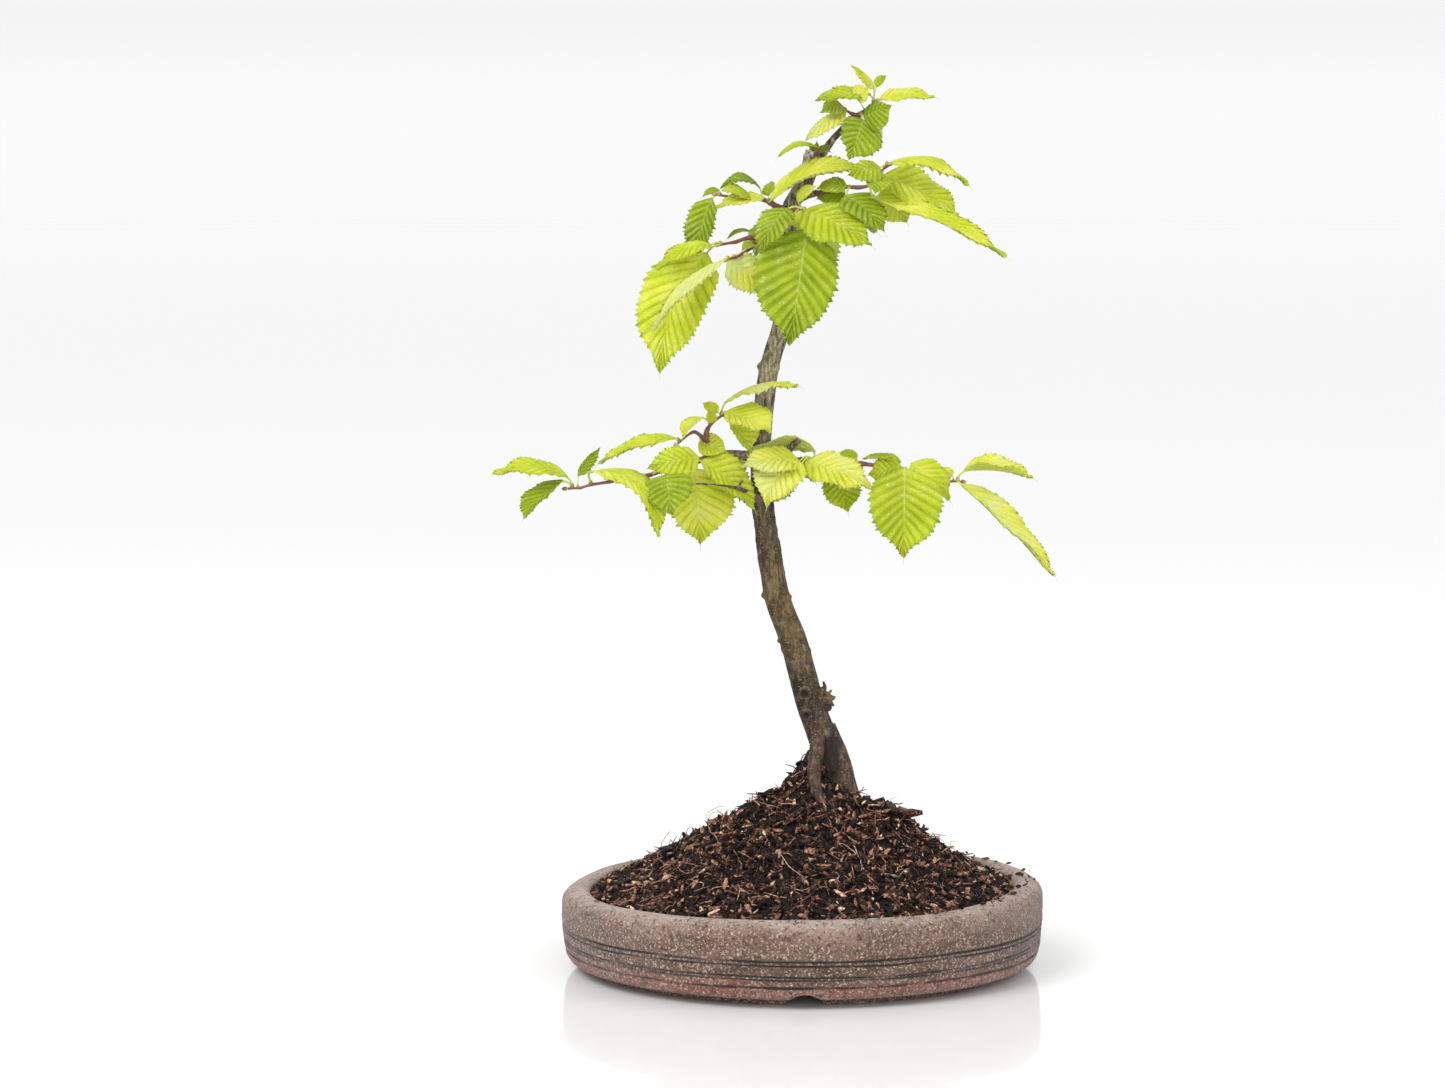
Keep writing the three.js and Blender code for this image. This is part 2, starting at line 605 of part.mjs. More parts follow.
function pot() {
  const rings = potProfile.map(([radius, height]) => {
    const ring = [];
    for (let side = 0; side < potSides; side += 1) {
      ring.push(potPoint(radius, (side / potSides) * Math.PI * 2, height));
    }
    return ring;
  });
  let body = toSolid(skinned(rings));
  for (const x of drainHoleX) {
    const hole = new THREE.CylinderGeometry(drainHoleRadius, drainHoleRadius, floorTop * 2, 16);
    hole.rotateX(Math.PI / 2);
    hole.translate(potX + x, 0, floorTop);
    body = body.subtract(toSolid(hole));
  }
  for (const angle of notchAngles) {
    const notch = new THREE.CylinderGeometry(notchWidth / 2, notchWidth / 2, notchLength, 16);
    notch.rotateZ(Math.PI / 2);
    notch.scale(1, 1, notchHeight / (notchWidth / 2));
    notch.translate(potRadius, 0, 0);
    notch.rotateZ(THREE.MathUtils.degToRad(angle));
    notch.translate(potX, 0, 0);
    body = body.subtract(toSolid(notch));
  }
  return toGeometry(body);
}

// Lumps of the soil's surface, the same each time.
function lump(x, y) {
  const ridges = Math.sin(x * 0.61 + 1.3 * Math.sin(y * 0.37));
  const fine = ridges * Math.cos(y * 0.53 - 0.8 * Math.sin(x * 0.29));
  const coarse = Math.sin(x * 0.17 + 2) * Math.sin(y * 0.21 - 1);
  return lumpHeight * (fine + 0.7 * coarse);
}

// Height of the mound: a cone from the rim, steeper where it is drawn up round the trunk.
function soilHeight(x, y, share) {
  const away = Math.hypot(x - moundX, y - moundY);
  const collar = collarHeight * Math.exp(-((away / collarSpread) ** 2));
  const shelf = 6 * Math.exp(-(((x - 40) / 14) ** 2) - ((y - 4) / 18) ** 2);
  return soilEdgeHeight + moundHeight * (1 - share) ** 1.15 + collar + shelf;
}

function soil() {
  const underRim = [
    [innerFloorRadius - clearance * 2, floorTop + clearance],
    [rimInner - 1.5 - clearance * 1.5, 22],
    [rimInner - clearance * 1.5, rimHeight - 4.4],
  ];
  const rings = underRim.map(([radius, height]) => {
    const ring = [];
    for (let side = 0; side < soilSides; side += 1) {
      ring.push(potPoint(radius, (side / soilSides) * Math.PI * 2, height));
    }
    return ring;
  });
  for (let step = 1; step < soilRings; step += 1) {
    const share = 1 - step / soilRings;
    const ring = [];
    for (let side = 0; side < soilSides; side += 1) {
      const turn = (side / soilSides) * Math.PI * 2;
      const reach = (rimInner - clearance - 0.6) * share;
      const x = potX + reach * Math.cos(turn) + moundX * (1 - share);
      const y = reach * potDepthRatio * Math.sin(turn) + moundY * (1 - share);
      const tilt = rimTilt * reach * Math.cos(turn) * share ** 3;
      const rise = soilHeight(x, y, share) + lump(x, y) * (1 - share ** 6);
      ring.push(new THREE.Vector3(x, y, rise + tilt));
    }
    rings.push(ring);
  }
  const body = toSolid(skinned(rings)).subtract(underground(clearance * 1.3));
  return toGeometry(largestPart(body));
}

function piece(name, geometry, material) {
  const mesh = new THREE.Mesh(geometry, material);
  mesh.name = name;
  return mesh;
}

const tree = new THREE.Group();
tree.position.x = -boxMiddleX;
tree.add(piece("pot", pot(), stoneware));
tree.add(piece("soil", soil(), compost));
tree.add(piece("trunk", trunk(), bark));
for (const [name, shoot] of Object.entries(shoots)) tree.add(piece(name, spray(shoot), foliage));

export default tree;
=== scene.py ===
# A young hornbeam bonsai in a low, hand-made round pot of unglazed stoneware, dressed round its frame.
import math

import bmesh
import bpy
import numpy as np
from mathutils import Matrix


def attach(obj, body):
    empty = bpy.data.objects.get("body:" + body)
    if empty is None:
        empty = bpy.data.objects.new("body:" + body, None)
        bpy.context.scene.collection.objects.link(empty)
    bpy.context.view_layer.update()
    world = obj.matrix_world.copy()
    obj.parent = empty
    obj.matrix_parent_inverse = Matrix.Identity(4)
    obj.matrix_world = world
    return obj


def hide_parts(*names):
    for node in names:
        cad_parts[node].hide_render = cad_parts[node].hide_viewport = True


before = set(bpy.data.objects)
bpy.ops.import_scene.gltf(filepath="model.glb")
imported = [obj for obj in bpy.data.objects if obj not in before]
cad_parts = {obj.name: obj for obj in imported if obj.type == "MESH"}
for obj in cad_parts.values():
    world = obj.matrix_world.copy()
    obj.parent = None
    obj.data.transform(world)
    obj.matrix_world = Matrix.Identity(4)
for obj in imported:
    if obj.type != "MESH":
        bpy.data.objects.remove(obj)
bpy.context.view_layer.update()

# Lists and sizes are in millimetres. Their middle lies left of the frame's, by this much.
MM = 0.001
SHIFT = np.array([13.5, 0.0, 0.0])

# Camera: it looks along +Y and down a little, from as far as the lens asks.
CAMERA_AIM = (-35.6, 0.0, 185.7)
CAMERA_DISTANCE = 2000.0
CAMERA_DOWN = math.radians(7.0)
LENS = 115.35
SENSOR = 36.0

# Lights: name, place, size, power. Lengths of lights and floor are in metres.
LIGHTS = (
    ("key", (-1.5, -1.5, 2.2), 1.8, 64),
    ("side", (2.0, -0.6, 1.4), 1.0, 14),
    ("front", (0.2, -3.2, 0.9), 2.4, 42),
)
LIGHT_AIM = (0, 0, 0.18)
FLOOR_RADIUS = 200
FLOOR_GREY = 0.73

# Pot
POT_X = -1.0
POT_RADIUS = 105.2
POT_DEPTH_RATIO = 0.87
POT_SIDES = 560
POT_SEED = 21
FOOT_HEIGHT = 4.0
FOOT_OUTER = 90.0
FOOT_INNER = 76.0
UNDERSIDE_RADIUS = 100.0
FLOOR_TOP = 10.0
RIM_HEIGHT = 37.4
RIM_TILT = 0.016
RIM_INNER = 92.0
INNER_FLOOR_RADIUS = 84.0
NOTCH_WIDTH = 15.5
NOTCH_HEIGHT = 6.8
NOTCH_INNER_END = 63.0
NOTCH_ANGLES = (-90, 30, 150)
DRAIN_HOLE_RADIUS = 6.0
DRAIN_HOLE_X = (-38, 0, 38)
# Heights of the lowest and highest ring of the wall, and the step between rings.
WALL_RINGS = (5.2, 31.5, 0.32)
# Rows of (height, how far inside the pot's radius), up the wall and then round the rim.
WALL = ((4.4, 4), (7, 2.2), (13, 1.0), (19.2, 0.6), (26, 0.1), (31.5, 0.3))
RIM = (
    (31.5, 0.3), (33, 0.75), (34.4, 1.6), (35.6, 2.9), (36.5, 4.6), (37.1, 6.4), (37.4, 8.2), (37.3, 9.8),
)
# Lines cut in the wall: height, depth, half width.
GROOVES = ((20.9, 0.75, 0.42), (19.0, 0.55, 0.35), (14.3, 0.6, 0.4), (13.0, 0.35, 0.3), (9.6, 0.5, 0.5))

# Soil
SOIL_EDGE_HEIGHT = 34.5
MOUND_HEIGHT = 51.0
COLLAR_HEIGHT = 11.0
COLLAR_SPREAD = 9.0
MOUND_X = 4.0
MOUND_Y = 2.0
SHELF_HEIGHT = 6
SHELF_X = 40
LUMP_HEIGHT = 1.6
SOIL_SIDES = 256
SOIL_RINGS = 88
MOUND_SEED = 33
BARK_SEED = 7
# Middles of the large bits that stick out of the mound.
LEDGE = [[46, -3, 68.5], [40, -8, 69.5], [43, 3, 68.5], [38, 0, 71], [-40, -4, 64.5], [-60, -12, 54]]
# Broken bits: count, sizes, flatness, tilt, shade and its spread.
PEAT = (5200, (1.0, 3.2), (0.35, 0.9), 0.5, (0.22, 0.2))
BARK = (3600, (1.3, 4.6), (0.16, 0.45), 0.36, (0.36, 0.25))
PALE_BITS = (150, (1.2, 2.8), (0.4, 0.9), 0.5, (0.9, 0.07))
RIM_CRUMBS = (90, (0.7, 2.4), (0.4, 0.9), 0.3, (0.4, 0.15))
LEDGE_BITS = (len(LEDGE), (6.5, 9), (0.3, 0.45), 0.15, (0.35, 0.1))
# Strands: count, lengths, radius, curl, shade and its spread, points along, sides, rise, lift.
FIBRES = (1900, (3, 11), 0.32, 0.3, (0.5, 0.18), 6, 3, 0.2, 0.5)
ROOTLETS = (120, (8, 22), 0.16, 0.5, (0.84, 0.06), 14, 5, 0.1, 0.8)

# Leaves
THICKNESS = 0.3
FEWEST_VEINS = 6.5
LENGTH_PER_VEIN = 9.0
# How far the side veins lean forward, and how much of that they do right at the base.
VEIN_SLANT = 0.88
BASE_REACH = 0.2
# From one side vein to the next there are so many rows of points, and so many small teeth.
STATIONS = 8
TEETH = 2
# Columns of points from the midrib to the edge, as shares of the half width.
HALF_COLUMNS = (0.035, 0.12, 0.3, 0.5, 0.7, 0.87, 1.0)
# Blades shorter than this have smaller teeth, pleats, waves and ridges.
FULL_DETAIL = 32
TOOTH = 1.5
PLEAT = 1.0
WAVE_SHARE = 0.05
CUP_SHARE = 0.12
VEIN_RIDGE = 0.25
MIDRIB_RIDGE = 0.3
# Powers that round the outline at its base and its tip, and how much the very tip is drawn in.
OUTLINE_BASE = 0.53
OUTLINE_TIP = 0.8
TIP_PINCH = 0.5
AWN = 2.4
LEAF_SEED = 100

# Twigs
TWIG_JOINT_GAP = 7
TWIG_CROOK = 0.35
TWIG_TAPER = 0.42
TWIG_SWELLING = 0.28
BUD_LENGTH = 2.8

# Wood
VOXEL = 0.55
SMOOTHING = 4
WOOD_SEED = 5
# Heights near which, and below which, the bark is coarse.
ROUGH_LEVEL = 194
ROOT_LEVEL = 110
# Bark further from the trunk's axis is smoother, and wood slimmer than the second number is young.
TRUNK_REACH = 9
YOUNG_RADIUS = 2.5
# A path row is [x, y, z, radius].
TRUNK = [
    [14, 3, 58, 6.6], [13, 3, 74, 6.8], [11, 3, 90, 6.6], [7, 3, 103, 6.2],
    [1.5, 3, 119, 6.1], [-4.5, 3, 142, 5.9], [-12, 2, 163, 5.5], [-16, 1, 186, 5.0],
    [-19, 0, 214, 4.6], [-18.5, -1, 236, 4.2], [-15.5, -1, 262, 4.2], [-9.7, -1, 283, 4.0],
    [-7.8, -1, 318, 3.8], [-6.5, 0, 331, 3.7], [0.5, 0, 343, 3.5], [2.6, 0, 352, 3.7],
]
ROOTS = [
    [[5.9, -2, 104, 3.4], [4.9, -7, 94, 3.3], [4.1, -8.5, 86, 3.1], [5.4, -10.5, 78, 2.5],
     [10, -16, 70, 1.7]],
    [[9, 3, 105, 5.0], [15, 3, 90, 5.2], [18.5, 2, 79, 4.6], [24, 1, 66, 3.6], [36, 0, 52, 2.4]],
    [[12, 3, 70, 5.0], [2, 8, 58, 3.6], [-16, 14, 44, 2.0]],
    [[13, 4, 66, 5.0], [18, 18, 52, 3.4], [24, 36, 38, 1.8]],
    [[12, 2, 64, 4.6], [-2, -12, 50, 3.0], [-18, -28, 38, 1.6]],
]
LIMBS = [
    [[1.5, 0, 348, 2.4], [7.5, -2, 354.5, 1.8], [11.5, -3, 360, 1.6], [16, -4, 365, 1.4]],
    [[2.6, -2, 351, 1.5], [4.4, -5, 353.8, 1.2]],
    [[-7, 0, 329, 2.0], [-12, -5, 331.5, 1.4]],
    [[-7.8, -1, 318, 2.2], [-12, -6, 318.2, 1.8], [-16, -9, 318.2, 1.5]],
    [[-5, 0, 333, 2.2], [0, -5, 336, 1.8], [5, -7, 337.5, 1.5]],
    [[-7, -1, 327, 2.0], [-5.5, -7, 329.5, 1.5]],
    [[-7.5, 1, 321, 2.2], [-5, 10, 323.5, 1.6], [-4, 14, 324.5, 1.4]],
    [[-18.7, -1, 224, 3.2], [-26, -9, 225, 2.4], [-34, -15, 226, 2.0], [-39, -18, 225.4, 1.6]],
    [[-34, -15, 226, 1.6], [-39.5, -17, 230, 1.4]],
    [[-18.8, -1, 205, 1.8], [-22.5, -19, 209, 1.1], [-29, -28, 213, 0.8], [-38, -33, 215, 0.65],
     [-47, -37, 216, 0.6]],
    [[-29, -28, 213, 0.7], [-27, -30, 217, 0.55]],
    [[-18.5, 0, 221.5, 2.8], [-10, -4, 222.4, 2.0], [-2, -5.3, 222.4, 1.5]],
    [[-8, -4, 222.5, 1.7], [-6.5, -7, 228, 1.5], [-2.5, -9, 232, 1.3]],
    [[-18.5, 1, 217, 2.6], [-16.5, 10, 218.4, 1.8], [-15.5, 15, 218.8, 1.5]],
]
# A ball that rounds off the sawn top, how far the sawn face lies above its middle, and the way that looks.
CUT_TOP = (2.6, 0, 353, 4.0)
CUT_HEIGHT = 2.2
CUT_SLOPE = (-0.4, -0.3, 0.85)
# Knots and buds: [x, y, z, radius].
KNOTS = [
    [-4.7, -2.4, 136.5, 1.3], [-17, 1, 163.5, 1.7], [-10.6, 1, 143.5, 1.4], [-8.8, 1, 139.3, 1.3],
    [-3.4, 0, 120, 1.4], [-6.8, 1, 162.6, 1.3], [1.2, 1, 139.5, 1.4], [-9.6, 1, 173, 1.3],
    [-19.6, -1, 186.5, 1.6], [-19, -1, 263, 1.8],
    [6.8, 0.5, 103.5, 6.4],
]
# Round pruning scars with a raised lip: [x, y, z, radius].
SCARS = [[0, -2.6, 121, 2.3], [0.7, -2.4, 111.5, 2.1]]
# Heights of wrinkled rings round the trunk, at old joints.
JOINTS = (139, 163, 187, 209, 262)
# Broken, fibrous stub: [x, y, z, reach].
STUB = [11, 1.6, 118.5, 3.6]
SPLINTERS = [
    [[8, 2, 117, 2.4], [11, 1.5, 118, 1.7], [13.5, 1, 118.8, 0.5]],
    [[7, 2, 120, 1.8], [8.8, 1.5, 123, 1.0], [8.0, 1, 125.8, 0.4]],
    [[8.5, 2, 115.5, 2.2], [10.8, 1, 114.2, 1.4], [10.8, 0.5, 112.4, 0.5]],
    [[9.5, 0, 117, 1.4], [11.8, -1, 116.2, 1.0], [12.7, -1.4, 114.8, 0.4]],
    [[9, 0.5, 119.5, 1.4], [11, 0, 120.8, 0.9], [11.6, -0.3, 122.4, 0.35]],
]

# Twigs of each leafy shoot, as paths.
TWIGS = {
    "spray_apex": [
        [[16, -4, 365, 1.4], [22.5, -4, 370, 1.3], [29.5, -4, 376, 0.9]],
        [[22.5, -4, 370, 1.2], [17, -5, 372.5, 0.8]],
    ],
    "spray_stump": [
        [[4.4, -5, 353.8, 1.1], [5.4, -7, 355.4, 0.8]],
        [[4.2, -3.5, 354.6, 0.8], [6.8, -4.5, 356.6, 0.5]],
    ],
    "spray_upper_left": [
        [[-12, -5, 331.5, 1.4], [-16, -8, 333.5, 1.3], [-26, -12, 335.5, 1], [-38, -17, 337, 0.8]],
    ],
    "spray_upper_left_low": [
        [[-16, -9, 318.2, 1.5], [-20, -12, 318, 1.4], [-28, -17, 318, 1.1], [-37, -23, 316, 0.9]],
        [[-20, -12, 318, 1.2], [-27, -22, 313, 0.9], [-34, -32, 311, 0.8]],
    ],
    "spray_upper_front": [
        [[-5.5, -7, 329.5, 1.3], [-3, -12, 331, 1.1], [0, -20, 330.5, 0.8]],
    ],
    "spray_upper_right": [
        [[5, -7, 337.5, 1.4], [16, -12, 340, 1], [26, -16, 341.5, 0.9],
         [31, -20, 346, 0.8], [34.5, -22, 350, 0.7]],
    ],
    "spray_upper_back": [
        [[-4, 14, 324.5, 1.4], [0, 26, 327, 1.1], [5, 40, 328, 0.8]],
    ],
    "spray_lower_left": [
        [[-39, -18, 225.4, 1.6], [-47, -22, 224, 1.4], [-60, -29, 220.5, 1.1],
         [-75, -34, 218.3, 1], [-91, -37, 215.5, 0.9], [-101, -38, 214, 0.8]],
    ],
    "spray_lower_left_fork": [
        [[-39.5, -17, 230, 1.4], [-42, -18, 233, 1.3], [-41, -17, 238.5, 1.1], [-36, -15, 243.5, 0.8]],
        [[-42, -18, 233, 1.1], [-47.5, -21, 235.5, 0.8], [-54, -25, 231.5, 0.7]],
    ],
    "spray_lower_right": [
        [[-2, -5.3, 222.4, 1.5], [8, -6, 222, 1.3], [24, -8, 221, 1.1],
         [43, -12, 219, 0.9], [58, -14, 214.5, 0.8], [66, -16, 214.5, 0.7]],
    ],
    "spray_lower_back": [
        [[-15.5, 15, 218.8, 1.5], [-13, 28, 219, 1.2], [-7, 44, 217, 0.8]],
    ],
}
# Leaves of each shoot. A row is (foot, tip, the way the upper face looks, width, arch, fold in degrees,
# colour from 0 green to 9 yellow and 10 pale, lean to one side, sideways bend). Lean and bend are left
# out where they are 0.
LEAVES = {
    "spray_apex": [
        ((29.3, -5, 381.7), (19, -12, 391.8), (2, -6, 5), 5.5, 0.03, 10, 8, -0.3),
        ((31, -5, 377), (55, -4, 378), (0, -3, 9), 15, 0.06, 10, 8, -0.2),
        ((27.7, -6, 379.3), (3.5, -16, 377), (0, -5, 9), 11, 0.05, 10, 6, 0.15),
        ((24, -9.5, 368.8), (17.6, -26, 352.5), (4, -8, 5), 20, 0.06, 12, 3, -0.15),
        ((27, -2, 367), (31.5, 0, 357.5), (5, -8, 4), 8, 0.05, 20, 9),
        ((29.9, 0, 382), (34.3, 4, 387), (0, -8, 4), 4, 0.05, 20, 5, -0.4),
        ((16.5, -5, 373), (6, -10, 371.5), (-1, -6, 6), 10, 0.2, 10, 4),
        ((17, -6, 371.5), (-0.5, -14, 360), (-4, -6, 6), 10, 0.02, 10, 8.8, -0.3, 0.06),
        ((21.8, -10, 376.7), (26.3, -13, 382.6), (0, -8, 5), 8.5, 0.05, 10, 9, -0.2),
        ((24.4, -9.5, 369.4), (36, -13, 374.8), (4, -8, 5), 13.5, 0.05, 10, 3.1, 0.35),
    ],
    "spray_stump": [
        ((5, -9, 357), (-12, -14, 353), (-1, -3, 10), 6.5, 0.19, 10, 6, -0.2),
        ((4.5, -5.5, 355), (9.5, -6.5, 357.6), (0, -8, 5), 2.6, 0.1, 20, 2),
        ((4, -5.5, 355), (4.6, -7.4, 359.4), (2, -8, 2), 2.4, 0.1, 20, 3),
        ((5, -5.5, 354.5), (10.5, -7, 354.8), (0, -6, 8), 2.6, 0.15, 20, 1),
        ((3.5, -5.5, 355.5), (1.2, -7, 358.4), (-3, -8, 4), 2.4, 0.1, 20, 1),
    ],
    "spray_upper_left": [
        ((-17.5, -13, 335.6), (-38.5, -20, 331.9), (0, -4, 9), 11, 0.06, 15, 8),
        ((-19.5, -6, 339.5), (-36.5, -12, 339.5), (1, -3.5, 9), 9.5, 0.28, 5, 2, 0.1),
        ((-23, -15, 335), (-36, -20, 339), (0, -4, 9), 12, 0.1, 8, 6, 0.3),
        ((-40, -18, 336), (-47.5, -17, 309), (-3, -8, 4), 14, 0.08, 12, 3, 0.15),
        ((-37, -14, 339), (-44, -16, 336.3), (0, -4, 8), 5, 0.12, 15, 3),
        ((-16, -10, 333.5), (27, -14.5, 348), (-2, -4, 9), 16, 0.15, 12, 8, -0.3),
        ((-16, -6, 336), (-14.5, 0, 342), (-5, -5, 5), 7, 0.05, 20, 3),
    ],
    "spray_upper_left_low": [
        ((-40, -27, 316.5), (-63.5, -38, 306.5), (-1, -4, 8), 12, 0.14, 10, 7, -0.2),
        ((-42, -28, 313.5), (-62, -42, 263), (-1.5, -9, 3), 31, 0.05, 10, 7.3, 0.06, 0.08),
        ((-24, -12, 321.5), (-33.5, -15, 318.5), (0, -2, 10), 5, 0.12, 20, 3),
        ((-34, -36, 311), (-65.5, -56, 281.8), (-4.5, -3, 9), 12, 0.08, 5, 9.6),
        ((-33.5, -23, 310.5), (-14, -25, 297), (1, -9, 3), 17, 0.04, 8, 9, 0.1),
        ((-21.5, -20, 315.5), (-27.5, -27, 314), (0, -5, 8), 6, 0.15, 20, 4),
    ],
    "spray_upper_front": [
        ((0, -27, 323.5), (-7.5, -44, 275), (1, -9, 3), 36, 0.04, 8, 3.8, 0.1),
        ((-1, -23, 331), (27, -42, 317), (2, -8, 6), 23, 0.06, 8, 5.2, 0.15),
        ((-8, -22, 331.8), (-20, -40, 313.5), (-3, -8, 5), 15.5, 0.1, 10, 3.6),
        ((-4, -15, 334.5), (4, -19, 341), (0, -7, 7), 7, 0.05, 20, 8),
        ((-5.5, -15, 329), (-2.5, -20, 323), (0, -8, 4), 8, 0.05, 20, 8),
    ],
    "spray_upper_right": [
        ((17.5, -15, 340.4), (4.5, -13, 339.6), (0, -6, 7), 10, 0.1, 15, 3.6, -0.1),
        ((31, -25, 349), (17, -34, 346), (0, -8, 5), 12, 0.05, 10, 4, -0.2),
        ((32, -26, 345), (28.5, -38, 338.5), (-1, -8, 5), 12, 0.08, 15, 4),
        ((34, -22, 350.3), (68.5, -26, 341.5), (0, -3, 8), 14, 0.17, -5, 7.5, -0.25),
        ((32.5, -16, 345.5), (64.5, -18, 328.5), (3.5, -5, 8), 28, 0.05, 12, 7),
        ((26.5, -24, 336.5), (83.5, -46, 312.5), (3, -4.5, 8.5), 16, 0.05, 24, 7.6),
        ((16.5, -20, 337), (32.5, -36, 322.5), (3, -7.5, 6), 18, 0.08, 12, 3.5),
        ((32.5, -12, 340), (43, -12, 325), (0, -8.5, 4), 19, 0.05, 12, 8),
        ((17, -11, 336), (4.5, -9, 335), (0, -7, 6), 9, 0.1, 10, 3),
    ],
    "spray_upper_back": [
        ((8, 44, 327), (24, 66, 312), (3, 4, 8), 24, 0.1, 12, 5),
        ((-3, 32, 327), (-22, 52, 306), (-3, 5, 6), 23, 0.08, 12, 4),
        ((3, 40, 325), (4, 56, 292), (0, 8, 3), 26, 0.05, 10, 6),
        ((5, 30, 326), (32, 44, 318), (3, 4, 8), 19, 0.1, 15, 7),
    ],
    "spray_lower_left": [
        ((-101, -38, 219), (-132.5, -44, 220.8), (0, -3.2, 10), 17, 0.12, 12, 7),
        ((-103, -40, 218), (-119.2, -54, 203.2), (-6, -5, 6), 14, 0, 15, 4, 0.5, 0.08),
        ((-97, -35, 219), (-87.7, -30, 230.5), (-3, -8, 4), 5.5, 0.04, 10, 3, 0.3),
        ((-93, -42, 221.5), (-62, -60, 196), (6, -3, 8), 28, 0.25, 5, 7.5, -0.3),
        ((-59, -44, 220.5), (-57, -62, 205.5), (-1, -9, 4.5), 22, 0.06, 15, 3.6),
        ((-47.5, -13, 220.1), (-45, -31, 189.3), (0, -10, 5), 30, 0.05, 8, 8.2, -0.12),
        ((-45.5, -34, 226.8), (-67.5, -42, 223), (0, -8, 5), 15, 0.07, 12, 6.5, -0.1),
        ((-45, -24, 224.5), (-22, -24, 203.6), (4, -7, 6), 18, 0.1, 10, 7.5, -0.3),
    ],
    "spray_lower_left_fork": [
        ((-44, -20, 242.5), (-52.5, -28, 234.5), (-6, -5, 5), 10, 0.12, 20, 7.5, 0.1),
        ((-39.5, -18, 240), (-41.5, -20, 246), (0, -9, 2), 5, 0.05, 20, 6),
        ((-37.5, -15, 244), (-44, -12, 248), (0, -7, 7), 6, 0.05, 20, 6),
        ((-34.8, -19, 244.8), (-15, -36, 238), (0, -5.5, 8.5), 18, 0.04, 6, 8, -0.35),
        ((-35, -14, 248.2), (-3.3, -26, 256.5), (-1, -1, 10), 16, 0.12, -6, 8.6),
        ((-32.5, -12, 239.5), (-24, -14, 226.5), (3, -6, 6), 14, 0.16, 8, 6, -0.5),
        ((-46, -18, 231), (-34, -20, 228), (0, -6, 7), 14, 0.05, 15, 7),
        ((-55.5, -26, 234.3), (-88.5, -24, 223.2), (0, -4, 9), 10, 0.1, 0, 7.5, 0.35),
    ],
    "spray_lower_right": [
        ((4.5, -4, 226.2), (-23, -7.5, 227.2), (0, 4, 8.5), 17, 0.12, 8, 8.4),
        ((-2.5, -21, 223.7), (-27.8, -32, 222.5), (0, -6.5, 7.5), 17, 0.1, 10, 8.3),
        ((-1.3, -25, 223.5), (-17, -37, 206), (0, -8, 6), 21, 0.05, 8, 8.5, 0.15, 0.15),
        ((-0.5, -18, 223), (27.8, -32, 213.6), (0, -7, 7.5), 19, 0.08, 10, 8.3),
        ((14, -12, 218), (18, -20, 202), (-1, -9, 4), 17, 0.05, 10, 5),
        ((22, -6, 221.8), (14, -2, 225.5), (0, -7, 7), 8, 0.1, 15, 5),
        ((42, -20, 221), (41, -42, 185), (0, -9.5, 4), 32, 0.05, 8, 5.5, -0.05),
        ((41, -12, 222.5), (24.5, -8, 223.5), (0, -2.5, 10), 8, 0.12, 10, 4),
        ((45, -15, 222.5), (61.5, -20, 207), (4, -7, 5), 19, 0.06, 10, 7),
        ((67.5, -16, 219.5), (97, -20, 216.5), (0, -2, 10), 17, 0.06, 42, 8.6),
        ((65.8, -19, 214.2), (106.3, -26, 175), (6, -3, 6), 17, 0.03, 20, 8.5, -0.35),
        ((63, -13, 216.5), (58, -9, 219.5), (0, -7, 7), 5, 0.1, 20, 8),
        ((41, -16, 221), (27, -12, 217), (0, -8, 5), 14, 0.05, 10, 5),
    ],
    "spray_lower_back": [
        ((-5, 48, 216), (6, 70, 205), (2, 5, 7), 22, 0.1, 12, 5),
        ((-16, 32, 218), (-38, 50, 208), (-3, 4, 7), 22, 0.1, 12, 6),
        ((-9, 40, 215), (-16, 58, 194), (-1, 7, 4), 20, 0.05, 10, 4),
    ],
}


# Shapes in general


def unit(vectors):
    return vectors / np.linalg.norm(vectors, axis=-1, keepdims=True)


def ease(value):
    """From 0 to 1 along a smooth step."""
    value = np.clip(value, 0, 1)
    return value * value * (3 - 2 * value)


def bell(distance, width):
    return np.exp(-((distance / width) ** 2))


def circle(sides):
    """Angles of evenly spread points, once round."""
    return np.arange(sides) / sides * 2 * math.pi


class Bumps:
    """Smooth random values from -1 to 1 in space, the same for the same seed."""

    TABLE = 48

    def __init__(self, seed):
        self.table = np.random.default_rng(seed).uniform(-1, 1, (self.TABLE,) * 3)

    def __call__(self, points, size):
        """The values at points, with about one bump to each size, which may differ along X, Y and Z."""
        places = np.asarray(points) / np.asarray(size, float) + 400.5
        corner = np.floor(places).astype(int)
        weight = ease(places - corner)
        total = 0
        for step in np.ndindex(2, 2, 2):
            part = np.prod(np.where(step, weight, 1 - weight), axis=-1)
            total = total + part * self.table[tuple(np.moveaxis((corner + step) % self.TABLE, -1, 0))]
        return total

    def layers(self, points, *layers):
        """Bumps of several sizes, added up. A layer is (height, size)."""
        return sum(height * self(points, size) for height, size in layers)


def linked(name, data):
    """A new object in the scene."""
    made = bpy.data.objects.new(name, data)
    bpy.context.scene.collection.objects.link(made)
    return made


